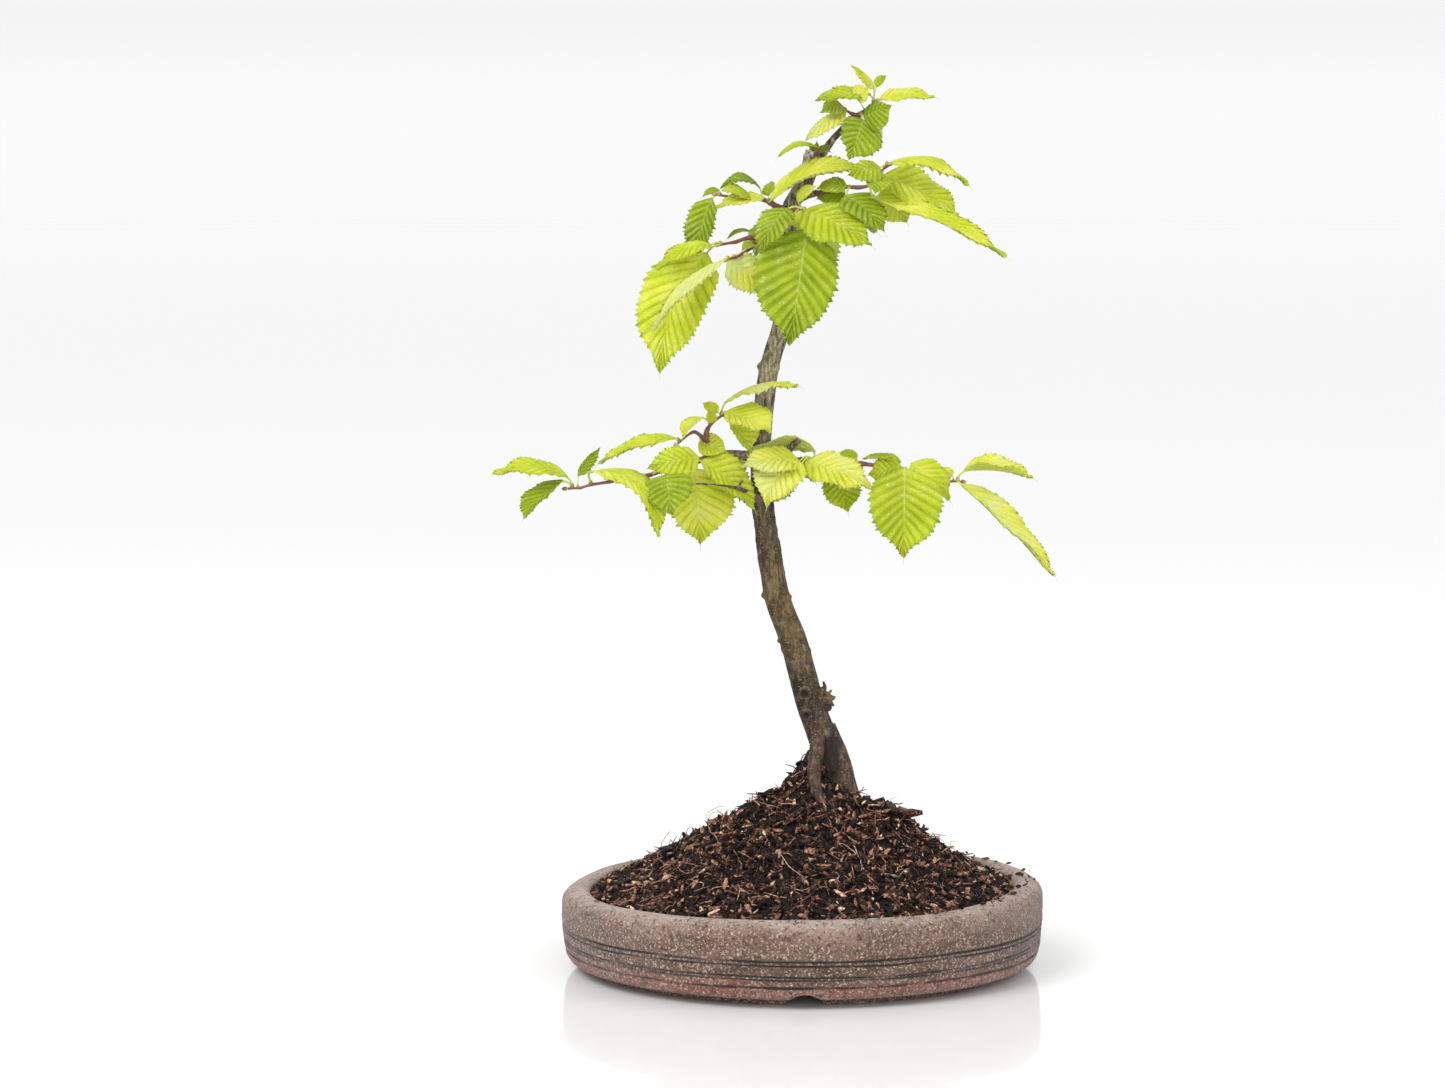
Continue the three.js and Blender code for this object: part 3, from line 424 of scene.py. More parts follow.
class Piece:
    """Points, faces and point values of one visible piece, gathered in millimetres."""

    def __init__(self, name, *values):
        self.name = name
        self.points = []
        self.faces = []
        self.finishes = []
        self.flat = []
        self.values = {value: [] for value in values}
        self.count = 0

    def add(self, points, face_sets, finish=0, flat=False, **values):
        """Adds points and sets of faces with equal numbers of corners. flat may be one value for each set."""
        points = np.reshape(points, (-1, 3))
        flats = flat if isinstance(flat, tuple) else (flat,) * len(face_sets)
        for faces, state in zip(face_sets, flats):
            self.faces.append(faces + self.count)
            self.finishes.append(np.full(len(faces), finish))
            self.flat.append(np.full(len(faces), state))
        for key, rows in self.values.items():
            rows.append(np.broadcast_to(np.asarray(values.get(key, 0.0), float).ravel(), len(points)))
        self.points.append(points)
        self.count += len(points)

    def mesh(self):
        mesh = bpy.data.meshes.new(self.name)
        points = (np.concatenate(self.points) + SHIFT) * MM
        mesh.from_pydata(points, [], [face for faces in self.faces for face in faces.tolist()])
        mesh.polygons.foreach_set("material_index", np.concatenate(self.finishes))
        mesh.polygons.foreach_set("use_smooth", ~np.concatenate(self.flat))
        for key, rows in self.values.items():
            mesh.attributes.new(key, "FLOAT", "POINT").data.foreach_set("value", np.concatenate(rows))
        mesh.validate()
        return mesh

    def place(self, materials, slot, *nodes):
        """Makes the object, which rides on the part's body and stands for the nodes."""
        piece = linked(self.name, self.mesh())
        for material in materials:
            piece.data.materials.append(material)
        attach(piece, "root")
        if nodes:
            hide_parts(*nodes)
        return piece


def around(rows, sides):
    """Quads of a closed skin over rings of points, ring by ring and side by side."""
    ring, side = np.mgrid[0:rows - 1, 0:sides]
    here = ring * sides + side
    following = ring * sides + (side + 1) % sides
    return np.stack([here, following, following + sides, here + sides], -1)


def caps(rows, sides):
    """Quads that close both ends of such a skin."""
    low = np.arange(sides // 2 - 1)
    start = np.stack([low, sides - 1 - low, sides - 2 - low, low + 1], -1)
    return np.concatenate([start, start[:, ::-1] + (rows - 1) * sides])


def closed(rows, sides):
    """The skin and its ends, as sets of faces."""
    return [around(rows, sides).reshape(-1, 4), caps(rows, sides)]


def path_length(path):
    return np.linalg.norm(np.diff(np.asarray(path, float)[:, :3], axis=0), axis=1).sum()


def along_path(path, share):
    """Points and radii at shares of a smooth curve through a path's rows."""
    rows = np.asarray(path, float)
    place = np.clip(share, 0, 1) * (len(rows) - 1)
    index = np.minimum(place.astype(int), len(rows) - 2)
    weight = (place - index)[:, None]
    spots = rows[:, :3]
    padded = np.vstack([2 * spots[0] - spots[1], spots, 2 * spots[-1] - spots[-2]])
    before, start, end, after = (padded[index + step] for step in range(4))
    pairs = ((before, start), (start, end), (end, after))
    first, gap, last = (np.linalg.norm(b - a, axis=1, keepdims=True) ** 0.5 for a, b in pairs)
    leave = (start - before) / first - (end - before) / (first + gap) + (end - start) / gap
    enter = (end - start) / gap - (after - start) / (gap + last) + (after - end) / last
    leave = leave * gap
    enter = enter * gap
    cubic = 2 * (start - end) + leave + enter
    square = 3 * (end - start) - 2 * leave - enter
    points = start + leave * weight + square * weight**2 + cubic * weight**3
    radii = (rows[index, 3:] * (1 - weight) + rows[index + 1, 3:] * weight).ravel()
    return points, radii


def rings(centres, radii, sides):
    """Rings of points round a line of centres, square to it."""
    ahead = unit(np.gradient(centres, axis=0))
    least = [np.linalg.norm(np.cross(axis, ahead), axis=1).min() for axis in np.eye(3)]
    across = unit(np.cross(np.eye(3)[np.argmax(least)], ahead))
    up = np.cross(ahead, across)
    turn = circle(sides)
    spoke = np.cos(turn)[:, None] * across[:, None] + np.sin(turn)[:, None] * up[:, None]
    return centres[:, None] + np.reshape(radii, (len(centres), -1, 1)) * spoke


def stem(piece, path, sides, step, **settings):
    """A round, tapering stem along a path, with a ring of points at each step of its length."""
    rows = max(4, round(path_length(path) / step))
    centres, radii = along_path(path, np.linspace(0, 1, rows))
    points = rings(centres, radii, sides)
    piece.add(points, closed(rows, sides), **settings)
    return points


def ball(level):
    """Points and triangles of a sphere of radius 1."""
    shape = bmesh.new()
    bmesh.ops.create_icosphere(shape, subdivisions=level, radius=1)
    points = np.array([vertex.co for vertex in shape.verts])
    faces = np.array([[vertex.index for vertex in face.verts] for face in shape.faces])
    shape.free()
    return points, faces


# Node materials


class Finish:
    """A node material. It starts from one colour or a ramp, and further colours are laid over that."""

    def __init__(self, name, colour=None):
        self.material = bpy.data.materials.new(name)
        self.material.use_nodes = True
        self.tree = self.material.node_tree
        self.tree.nodes.clear()
        self.colour = colour
        self.place = self.node("TexCoord", output="Object")

    def node(self, kind, inputs=(), output=0, **settings):
        """Adds a node with its settings and inputs, and gives one of its outputs."""
        node = self.tree.nodes.new("ShaderNode" + kind)
        for key, value in settings.items():
            setattr(node, key, value)
        for key, value in dict(inputs).items():
            self.put(node.inputs[key], value)
        return node.outputs[output]

    def put(self, socket, value):
        if isinstance(value, bpy.types.NodeSocket):
            self.tree.links.new(value, socket)
        elif socket.type == "RGBA":
            socket.default_value = (*value, 1)
        else:
            socket.default_value = value

    def value(self, name):
        return self.node("Attribute", output="Fac", attribute_name=name)

    def math(self, operation, *values, clamp=False):
        return self.node("Math", enumerate(values), operation=operation, use_clamp=clamp)

    def times(self, first, second, clamp=False):
        return self.math("MULTIPLY", first, second, clamp=clamp)

    def plus(self, first, second):
        return self.math("ADD", first, second)

    def stretched(self, upright):
        """The place, with heights multiplied, so that patterns stretch or flatten."""
        return self.node("Mapping", {"Vector": self.place, "Scale": (1, 1, upright)})

    def noise(self, scale, detail=2, roughness=0.5, place=None):
        inputs = {"Vector": place or self.place, "Scale": scale, "Detail": detail, "Roughness": roughness}
        return self.node("TexNoise", inputs)

    def cells(self, scale, place=None, feature="F1"):
        return self.node("TexVoronoi", {"Vector": place or self.place, "Scale": scale}, feature=feature)

    def span(self, value, low, high, first=0, last=1):
        """The value's place between low and high, as a number between first and last."""
        return self.node("MapRange", enumerate((value, low, high, first, last)), clamp=True)

    def ramp(self, value, *stops):
        """Sets the colour by a value: stops are (value, (red, green, blue))."""
        self.colour = self.node("ValToRGB", {"Fac": value})
        steps = self.colour.node.color_ramp.elements
        while len(steps) < len(stops):
            steps.new(1)
        for step, (position, colour) in zip(steps, stops):
            step.position = position
            step.color = (*colour, 1)

    def mix(self, share, first, second, blend_type="MIX"):
        inputs = {0: share, 6: first, 7: second}
        return self.node("Mix", inputs, 2, data_type="RGBA", blend_type=blend_type)

    def coat(self, colour, share, strength=None, blend_type="MIX"):
        """Lays a colour over the present one, by share times strength."""
        if strength is not None:
            share = self.times(share, strength)
        self.colour = self.mix(share, self.colour, colour, blend_type)

    def darken(self, tint, share, strength=None):
        self.coat(tint, share, strength, "MULTIPLY")

    def bump(self, height, distance, strength):
        return self.node("Bump", {"Height": height, "Distance": distance, "Strength": strength})

    def skin(self, roughness, specular, normal=None, dust=0):
        inputs = {"Base Color": self.colour, "Roughness": roughness, "Specular IOR Level": specular}
        inputs["Sheen Weight"] = dust
        if normal:
            inputs["Normal"] = normal
        return self.node("BsdfPrincipled", inputs)

    def done(self, shader):
        output = self.tree.nodes.new("ShaderNodeOutputMaterial")
        self.put(output.inputs["Surface"], shader)
        return self.material


def leaf_material():
    """Thin lit blades from green to yellow, crinkled, with painted shade in the sunk veins, painted
    highlights, sheen and glints on the upper face, and pale along the midrib.
    """
    leaf = Finish("leaf")
    vein = leaf.value("vein")
    across = leaf.math("ABSOLUTE", leaf.value("across"))
    under = leaf.value("under")
    upper = leaf.math("SUBTRACT", 1, under)
    tone = leaf.plus(leaf.value("tone"), leaf.span(leaf.noise(70), 0.3, 0.7, -0.12, 0.12))
    leaf.ramp(
        tone,
        (0, (0.13, 0.25, 0.004)),
        (0.27, (0.3, 0.43, 0.006)),
        (0.5, (0.53, 0.63, 0.016)),
        (0.72, (0.82, 0.88, 0.05)),
        (0.85, (1, 0.97, 0.17)),
        (1, (0.95, 0.98, 0.48)),
    )
    # Yellow and pale leaves show less of their veins and crinkles.
    depth = leaf.span(tone, 0.72, 0.88, 1, 0.4)
    mottle = leaf.span(leaf.noise(900, 4, 0.7), 0.36, 0.62)
    leaf.darken((0.72, 0.78, 0.4), mottle, leaf.times(depth, 0.5))
    # Painted sheen: pale patches screened over the upper face.
    sheen = leaf.span(leaf.noise(130, 3, 0.6), 0.5, 0.66, 0, 0.3)
    leaf.coat((0.4, 0.46, 0.12), sheen, upper, "SCREEN")
    # Painted shade: dark valleys along the side veins above. Painted highlight: yellower crests between them.
    near_vein = leaf.math("PINGPONG", vein, 0.5)
    ripple = leaf.span(leaf.noise(300), 0.3, 0.7, 0.045, 0.125)
    uneven = leaf.times(depth, leaf.span(leaf.noise(85, 3), 0.38, 0.62, 0.45, 1))
    valley_shade = leaf.times(leaf.span(near_vein, 0, ripple, 0.95, 0), uneven)
    leaf.darken((0.5, 0.62, 0.22), valley_shade, upper)
    crest_highlight = leaf.times(leaf.span(near_vein, 0.16, 0.4), upper)
    leaf.coat((1, 1, 0.14), crest_highlight, 0.2)
    # Pale midrib and side veins, clearer on the lower face.
    pale = leaf.mix(0.6, leaf.colour, (0.86, 0.92, 0.35))
    rib = leaf.span(across, 0.01, 0.035, 0.75, 0)
    line = leaf.times(leaf.span(near_vein, 0.01, 0.05, 1, 0), leaf.span(under, 0, 1, 0.4, 0.9))
    leaf.coat(pale, leaf.math("MAXIMUM", line, rib))
    # Fine rungs between the side veins, and a net of the finest veins.
    rungs = {0: leaf.times(vein, 1.3), 1: leaf.times(across, 24), 2: leaf.value("tone")}
    ladder = leaf.noise(1, 3, 0.6, leaf.node("CombineXYZ", rungs))
    net = leaf.span(leaf.cells(1000, feature="DISTANCE_TO_EDGE"), 0, 0.14, 1, 0)
    lines = leaf.math("MAXIMUM", net, leaf.span(ladder, 0.52, 0.62))
    leaf.darken((0.66, 0.76, 0.4), lines, 0.3)
    leaf.coat(leaf.mix(0.45, leaf.colour, (0.76, 0.86, 0.36)), under)
    # Painted glints: near-white specks on the crests, stronger within the painted sheen patches.
    glint = leaf.times(leaf.span(leaf.noise(1000, 3, 0.7), 0.55, 0.62), crest_highlight)
    leaf.coat((0.95, 1, 0.75), glint, leaf.span(sheen, 0, 0.3, 0.1, 0.7))
    normal = leaf.bump(leaf.plus(leaf.times(lines, -0.6), mottle), 0.00035, 0.9)
    front = leaf.skin(leaf.span(mottle, 0, 1, 0.28, 0.5), 0.3, normal)
    glow = leaf.mix(0.3, leaf.colour, (0.85, 0.98, 0.02))
    through = leaf.node("BsdfTranslucent", {"Color": glow, "Normal": normal})
    return leaf.done(leaf.node("MixShader", {0: 0.42, 1: front, 2: through}))


def shoot_material():
    """Stalks and twigs: yellow-green where young, red-brown where older."""
    shoot = Finish("shoot")
    blotch = shoot.span(shoot.noise(420, 3), 0.3, 0.7, -0.2, 0.2)
    shoot.ramp(
        shoot.plus(shoot.value("age"), blotch),
        (0, (0.42, 0.55, 0.06)),
        (0.3, (0.4, 0.36, 0.08)),
        (0.6, (0.22, 0.085, 0.05)),
        (1, (0.09, 0.05, 0.045)),
    )
    normal = shoot.bump(shoot.noise(1400, 3), 0.0002, 0.5)
    return shoot.done(shoot.skin(0.5, 0.35, normal))


def bark_material():
    """Grey and streaked above, olive-brown below, nearly black at the roots, red-brown on twigs."""
    bark = Finish("bark")
    height = bark.node("SeparateXYZ", {0: bark.place}, 2)
    level = bark.plus(height, bark.span(bark.noise(45), 0.3, 0.7, -0.01, 0.01))
    bark.ramp(
        bark.span(level, 0.05, 0.36),
        (0, (0.03, 0.019, 0.015)),
        (0.12, (0.105, 0.056, 0.039)),
        (0.22, (0.044, 0.029, 0.016)),
        (0.34, (0.185, 0.125, 0.046)),
        (0.44, (0.175, 0.125, 0.062)),
        (0.5, (0.1, 0.072, 0.044)),
        (0.6, (0.2, 0.16, 0.098)),
        (0.7, (0.37, 0.325, 0.185)),
        (1, (0.38, 0.335, 0.225)),
    )
    bark.coat((0.19, 0.115, 0.09), bark.value("young"))
    # Painted shade on both sides of the wood.
    bark.darken((0.34, 0.32, 0.3), bark.value("damp"))
    # Dark blotches, lichen, pale streaks that grow stronger with height, flakes and dark cracks.
    long_grain = bark.stretched(0.16)
    bark.darken((0.34, 0.3, 0.26), bark.span(bark.noise(100, 5, 0.75), 0.44, 0.56), 0.8)
    bark.coat((0.34, 0.3, 0.22), bark.span(bark.noise(240, 4, 0.75), 0.56, 0.64), 0.3)
    upper = bark.span(level, 0.19, 0.25, 0.12, 0.75)
    bark.coat((0.46, 0.41, 0.31), bark.span(bark.noise(800, 5, 0.7, long_grain), 0.5, 0.6), upper)
    flake = bark.span(bark.noise(420, 4, 0.75, bark.stretched(0.5)), 0.5, 0.42)
    bark.darken((0.3, 0.27, 0.24), flake, 0.5)
    crack = bark.span(bark.noise(520, 5, 0.75, long_grain), 0.5, 0.4)
    bark.coat((0.014, 0.01, 0.008), crack, bark.span(level, 0.12, 0.2, 0.4, 0.85))
    # Pores, and pale specks in patches.
    pores = bark.span(bark.cells(330, bark.stretched(2.6)), 0.13, 0.24, 0.5, 0)
    bark.coat((0.34, 0.27, 0.17), pores)
    specks = bark.span(bark.cells(900), 0.14, 0.3, 1, 0)
    patches = bark.span(bark.noise(190), 0.46, 0.6)
    bark.coat((0.62, 0.56, 0.46), bark.times(specks, patches), upper)
    # Torn wood of scars and stub, painted shade in the hollows and creases, and the grey cut top.
    weathered = bark.span(bark.noise(620, 4, 0.75), 0.46, 0.56)
    bark.coat(bark.mix(weathered, (0.3, 0.19, 0.1), (0.03, 0.018, 0.012)), bark.value("lip"), 0.55)
    bark.coat((0.012, 0.008, 0.006), bark.value("hollow"))
    bark.coat(bark.mix(weathered, (0.5, 0.45, 0.4), (0.06, 0.05, 0.03)), bark.value("cut"))
    relief = bark.plus(bark.noise(1000, 5, 0.7, long_grain), bark.times(pores, 0.6))
    return bark.done(bark.skin(0.6, 0.2, bark.bump(relief, 0.0007, 0.9)))


def stoneware_material():
    """Unglazed brown clay with pale and dark grains, red at the foot, pale on the rim, nearly black along its
    lines.
    """
    clay = Finish("stoneware")
    cloud = clay.span(clay.noise(28, 3), 0.3, 0.7)
    level = clay.plus(clay.value("level"), clay.span(cloud, 0, 1, -1.4, 1.4))
    clay.ramp(
        clay.span(level, 0, 40),
        (0, (0.08, 0.03, 0.023)),
        (0.18, (0.185, 0.054, 0.038)),
        (0.27, (0.165, 0.05, 0.034)),
        (0.33, (0.068, 0.032, 0.018)),
        (0.6, (0.08, 0.037, 0.019)),
        (0.8, (0.1, 0.051, 0.031)),
        (0.87, (0.115, 0.067, 0.045)),
        (0.93, (0.27, 0.2, 0.165)),
    )
    patch = clay.span(clay.noise(42, 5, 0.65, clay.stretched(3.5)), 0.4, 0.62)
    clay.coat((0.27, 0.17, 0.135), patch, 0.42)
    salt = clay.span(clay.noise(950, 3, 0.75), 0.53, 0.6)
    clay.coat((0.58, 0.46, 0.38), salt, 0.7)
    frost = clay.times(clay.span(level, 24, 35), clay.span(cloud, 0.35, 0.75))
    clay.coat((0.42, 0.31, 0.27), frost, 0.3)
    pepper = clay.span(clay.noise(500, 4, 0.75), 0.48, 0.39)
    clay.coat((0.035, 0.02, 0.014), pepper, 0.85)
    # The cut lines are darkened nearly to black, in broken streaks.
    groove_streaks = clay.span(clay.noise(60, 4, 0.7, clay.stretched(6)), 0.42, 0.56, 0.7, 2.4)
    clay.coat((0.016, 0.009, 0.007), clay.times(clay.value("groove"), groove_streaks, clamp=True))
    grain = clay.plus(clay.noise(700, 4, 0.7), clay.times(salt, 0.4))
    rough = clay.span(patch, 0, 1, 0.62, 0.8)
    return clay.done(clay.skin(rough, 0.25, clay.bump(grain, 0.001, 0.8), dust=0.2))


def soil_material():
    """Wet bark and peat: nearly black to red-brown, with a few tan and pale bits."""
    peat = Finish("soil")
    grain = peat.noise(800, 5, 0.75)
    peat.ramp(
        peat.plus(peat.value("shade"), peat.span(grain, 0.36, 0.64, -0.26, 0.26)),
        (0, (0.003, 0.002, 0.0018)),
        (0.3, (0.01, 0.005, 0.0035)),
        (0.45, (0.05, 0.02, 0.012)),
        (0.64, (0.27, 0.12, 0.075)),
        (0.88, (0.46, 0.27, 0.18)),
        (1, (0.74, 0.6, 0.42)),
    )
    normal = peat.bump(peat.noise(1300, 4, 0.75), 0.0008, 0.8)
    return peat.done(peat.skin(peat.span(grain, 0.3, 0.7, 0.4, 0.85), 0.2, normal))


def floor_material():
    floor = Finish("floor", (FLOOR_GREY, FLOOR_GREY, FLOOR_GREY))
    return floor.done(floor.skin(0.1, 0.75))


# Leaves


def outline(share):
    """Half width of a blade at a share of its length, as a share of the widest."""
    peak = OUTLINE_BASE / (OUTLINE_BASE + OUTLINE_TIP)
    highest = peak**OUTLINE_BASE * (1 - peak) ** OUTLINE_TIP
    oval = np.clip(share, 0, 1) ** OUTLINE_BASE * np.clip(1 - share, 0, 1) ** OUTLINE_TIP / highest
    return oval * (1 - TIP_PINCH * ease((share - 0.74) / 0.24))


class Blade:
    """The bent surface that a leaf row describes."""

    def __init__(self, leaf):
        foot, tip, face, self.width, self.arch, fold, self.tone, *sideways = leaf
        self.lean, self.bend = (*sideways, 0, 0)[:2]
        self.foot = np.array(foot, float)
        chord = np.array(tip, float) - self.foot
        self.length = np.linalg.norm(chord)
        self.along = chord / self.length
        face = np.array(face, float)
        self.up = unit(face - (face @ self.along) * self.along)
        self.across = np.cross(self.along, self.up)
        self.lift = math.radians(fold)

    def spine(self, share):
        """Middle of the blade at a share of its length, and the way its surface looks there."""
        share = np.asarray(share, float)[..., None]
        rise = self.length * self.arch * 4 * share * (1 - share)
        aside = self.length * self.bend * 4 * share * (1 - share)
        middle = self.foot + self.along * self.length * share + self.up * rise + self.across * aside
        return middle, unit(self.up - 4 * self.arch * (1 - 2 * share) * self.along)


def saw(place, stations):
    """Teeth that rise slowly and drop at once, just past each whole number."""
    return (place + 1 - 1 / stations) % 1


def double_teeth(vein, veins, side, rng):
    """How far the edge stands out: a large tooth at each side vein, with small ones between."""
    left = (side > 0).astype(int)
    big_size = rng.uniform(0.7, 1.25, (2, veins + 2))[left, np.ceil(vein).astype(int)]
    fine_size = rng.uniform(0.6, 1.4, (2, veins * TEETH + 2))[left, np.ceil(vein * TEETH).astype(int)]
    big = saw(vein, STATIONS) ** 1.5 * big_size - 0.4
    fine = saw(vein * TEETH, STATIONS / TEETH) ** 1.3 * fine_size - 0.4
    return 0.55 * big + 1.15 * fine


def add_blade(piece, leaf, rng):
    """A blade as a grid of points: rows run out along the side veins, columns run beside the midrib."""
    blade = Blade(leaf)
    veins = round(FEWEST_VEINS + blade.length / LENGTH_PER_VEIN)
    small = min(1.0, blade.length / FULL_DETAIL)
    vein = np.linspace(0, veins, veins * STATIONS + 1)[:, None]
    column = np.array([*(-share for share in HALF_COLUMNS[::-1]), 0.0, *HALF_COLUMNS])[None, :]
    side = np.sign(column)
    out_share = np.abs(column)
    share = vein / veins
    reach = share + VEIN_SLANT * (1 - share) * (share + BASE_REACH) / (1 + BASE_REACH)
    place = share + out_share * (reach - share)
    full = blade.width / 2 * (1 + side * blade.lean) * outline(reach)
    half = np.maximum(full, np.where(share < 0.5, 0.45, 0.12))
    fade = ease(share / 0.07) * ease((1 - share) / 0.04)
    teeth = TOOTH * small * fade * double_teeth(vein, veins, side, rng) * np.minimum(full / 3.5, 1)
    out = out_share * half + teeth * ease((out_share - 0.87) / 0.13)

    puff = np.abs(np.sin(math.pi * vein)) ** 0.6
    pleat = PLEAT * small * fade * (puff - 0.6) * ease(out_share / 0.25) * (1 - 0.3 * out_share**3)
    wave_turn = 2 * math.pi * (rng.uniform(1.4, 2.6) * share + rng.uniform(0, 1)) + (side > 0) * 1.9
    wave = WAVE_SHARE * blade.width * small * np.sin(wave_turn) * out_share**2 * fade
    height = out * math.sin(blade.lift) + pleat + wave - CUP_SHARE * out_share**2 * full
    middle, normal = blade.spine(place)
    turned = math.cos(blade.lift)
    points = middle + blade.across * (side * out * turned)[..., None] + normal * height[..., None]
    looks = unit(normal * turned - blade.across * side[..., None] * math.sin(blade.lift))

    near_vein = bell(np.abs(vein - np.round(vein)) * blade.length / veins, 0.3)
    ridge = VEIN_RIDGE * small * near_vein * fade * (1 - 0.7 * out_share)
    ridge = ridge + MIDRIB_RIDGE * small * bell(out_share * half, 0.6)
    above = points + looks * THICKNESS / 2
    below = points - looks * (THICKNESS / 2 + ridge)[..., None]
    add_sheet(piece, above, below, tone=blade.tone / 10, vein=vein, across=column)


def add_sheet(piece, above, below, tone, vein, across):
    """A thin closed sheet with sharp edges, from the points of its two faces."""
    loop = np.concatenate([above, below[:, ::-1]], 1)
    rows, sides = loop.shape[:2]
    columns = sides // 2
    edges = [columns - 1, sides - 1]
    skin = around(rows, sides)
    rim = skin[:, edges].reshape(-1, 4)
    faces = np.delete(skin, edges, 1).reshape(-1, 4)
    mirrored = np.concatenate([across, across[:, ::-1]], 1)
    piece.add(
        loop,
        [faces, rim, caps(rows, sides)],
        flat=(False, True, True),
        tone=tone,
        vein=np.broadcast_to(vein, loop.shape[:2]),
        across=np.broadcast_to(mirrored, loop.shape[:2]),
        under=np.broadcast_to(np.arange(sides) >= columns, loop.shape[:2]),
    )


def nearest_on_twigs(twigs, foot):
    """The point of a shoot's twigs that lies nearest to a leaf's foot."""
    spots = np.concatenate([along_path(path, np.arange(0.12, 1.0, 0.04))[0] for path in twigs])
    return spots[np.argmin(np.linalg.norm(spots - foot, axis=1))]


def add_petiole(piece, twigs, leaf):
    """A stalk from the twig to the blade, which runs on below it as the midrib."""
    blade = Blade(leaf)
    small = min(1.0, 0.45 + blade.length / 60)
    start = nearest_on_twigs(twigs, blade.foot)
    middle = start + 0.55 * (blade.foot - start)
    middle[2] += np.linalg.norm(start - blade.foot) * (0.1 + blade.arch * 0.3)
    spine, normal = blade.spine([0.04, 0.2, 0.4, 0.65, 0.9, 1.0])
    radii = np.array([0.42, 0.36, 0.3, 0.22, 0.14, 0.12]) * small
    under = spine - normal * (radii * 0.75 + 0.05)[:, None]
    awn = under[-1] + (unit(under[-1] - under[-2]) + [0, 0, -0.25]) * AWN * small
    path = [[*start, 0.5 * small], [*middle, 0.44 * small]]
    path += [[*point, radius] for point, radius in zip(under, radii)]
    path.append([*awn, 0.07])
    stem(piece, path, sides=8, step=1.6, finish=1, age=0.08)
    add_bud(piece, start, unit(middle - start) + [0, 0, 0.5], 2.6 * small)


def add_bud(piece, place, way, length):
    """A small pointed bud."""
    rows = 7
    sides = 8
    share = np.linspace(0, 1, rows)
    centres = place + unit(way) * (share * length)[:, None]
    radii = 0.32 * length * np.sin(math.pi * share**0.8) ** 0.8 + 0.05
    piece.add(rings(centres, radii, sides), closed(rows, sides), finish=1, age=0.5)


def crooked(path, rng):
    """A twig's path, slimmer towards its tip, that turns a little at each of its swollen joints."""
    joints = max(2, round(path_length(path) / TWIG_JOINT_GAP))
    shares = np.linspace(0, 1, 3 * joints + 1)
    points, radii = along_path(path, shares)
    aside = rng.normal(0, TWIG_CROOK, (joints + 1, 3)) * (np.arange(joints + 1) % 2 * 2 - 1)[:, None]
    at_joints = np.linspace(0, 1, joints + 1)
    points += np.stack([np.interp(shares, at_joints, aside[:, axis]) for axis in range(3)], -1)
    swell = 1 + TWIG_SWELLING * (np.arange(len(shares)) % 3 == 0)
    return np.column_stack([points, radii * (1 - TWIG_TAPER * shares) * swell])


def spray(name, materials, seed):
    rng = np.random.default_rng(seed)
    piece = Piece(name + "_fine", "tone", "vein", "across", "under", "age")
    twigs = [crooked(path, rng) for path in TWIGS[name]]
    for path in twigs:
        points = stem(piece, path, sides=10, step=0.9, finish=1, age=0.8)
        tip = points[-1].mean(0)
        add_bud(piece, tip, tip - points[-3].mean(0), BUD_LENGTH)
    for leaf in LEAVES[name]:
        add_petiole(piece, twigs, leaf)
        add_blade(piece, leaf, rng)
    piece.place(materials, "foliage", name)


# Wood


def wood_shells():
    """Overlapping shells of all the roots, trunk, limbs, splinters and knots."""
    rough = Piece("rough")
    stem(rough, TRUNK, sides=40, step=1.5)
    for path in ROOTS:
        stem(rough, path, sides=20, step=1.5)
    for path in [*LIMBS, *SPLINTERS]:
        stem(rough, path, sides=16, step=1)
    points, faces = ball(2)
    for *centre, radius in [*KNOTS, *SCARS, CUT_TOP]:
        rough.add(points * radius + centre, [faces])
    return rough


def remeshed(piece):
    """One smooth skin round all the shells of a piece: its points, their normals and its faces."""
    mesh = piece.mesh()
    rough = linked("rough", mesh)
    remesh = rough.modifiers.new("join", "REMESH")
    remesh.mode = "VOXEL"
    remesh.voxel_size = VOXEL * MM
    smooth = rough.modifiers.new("soften", "SMOOTH")
    smooth.iterations = SMOOTHING
    whole = rough.evaluated_get(bpy.context.evaluated_depsgraph_get()).to_mesh()
    points = np.empty((len(whole.vertices), 3))
    whole.vertices.foreach_get("co", points.ravel())
    normals = np.empty((len(whole.vertices), 3))
    whole.vertices.foreach_get("normal", normals.ravel())
    faces = np.empty(len(whole.loops), int)
    whole.loops.foreach_get("vertex_index", faces)
    bpy.data.objects.remove(rough)
    bpy.data.meshes.remove(mesh)
    return points / MM - SHIFT, normals, faces.reshape(-1, 4)


def youth(points):
    """From 0 on the old wood to 1 on the thinnest twigs, by the radius of the nearest stretch of wood."""
    paths = [TRUNK[:6], TRUNK[5:11], TRUNK[10:], *ROOTS, *LIMBS]
    samples = np.concatenate([np.column_stack(along_path(path, np.linspace(0, 1, 14))) for path in paths])
    nearest = []
    for part in np.array_split(points, 8):
        away = np.linalg.norm(part[:, None] - samples[None, :, :3], axis=2) - samples[:, 3]
        nearest.append(samples[np.argmin(away, axis=1), 3])
    return ease((YOUNG_RADIUS - np.concatenate(nearest)) / 0.9)


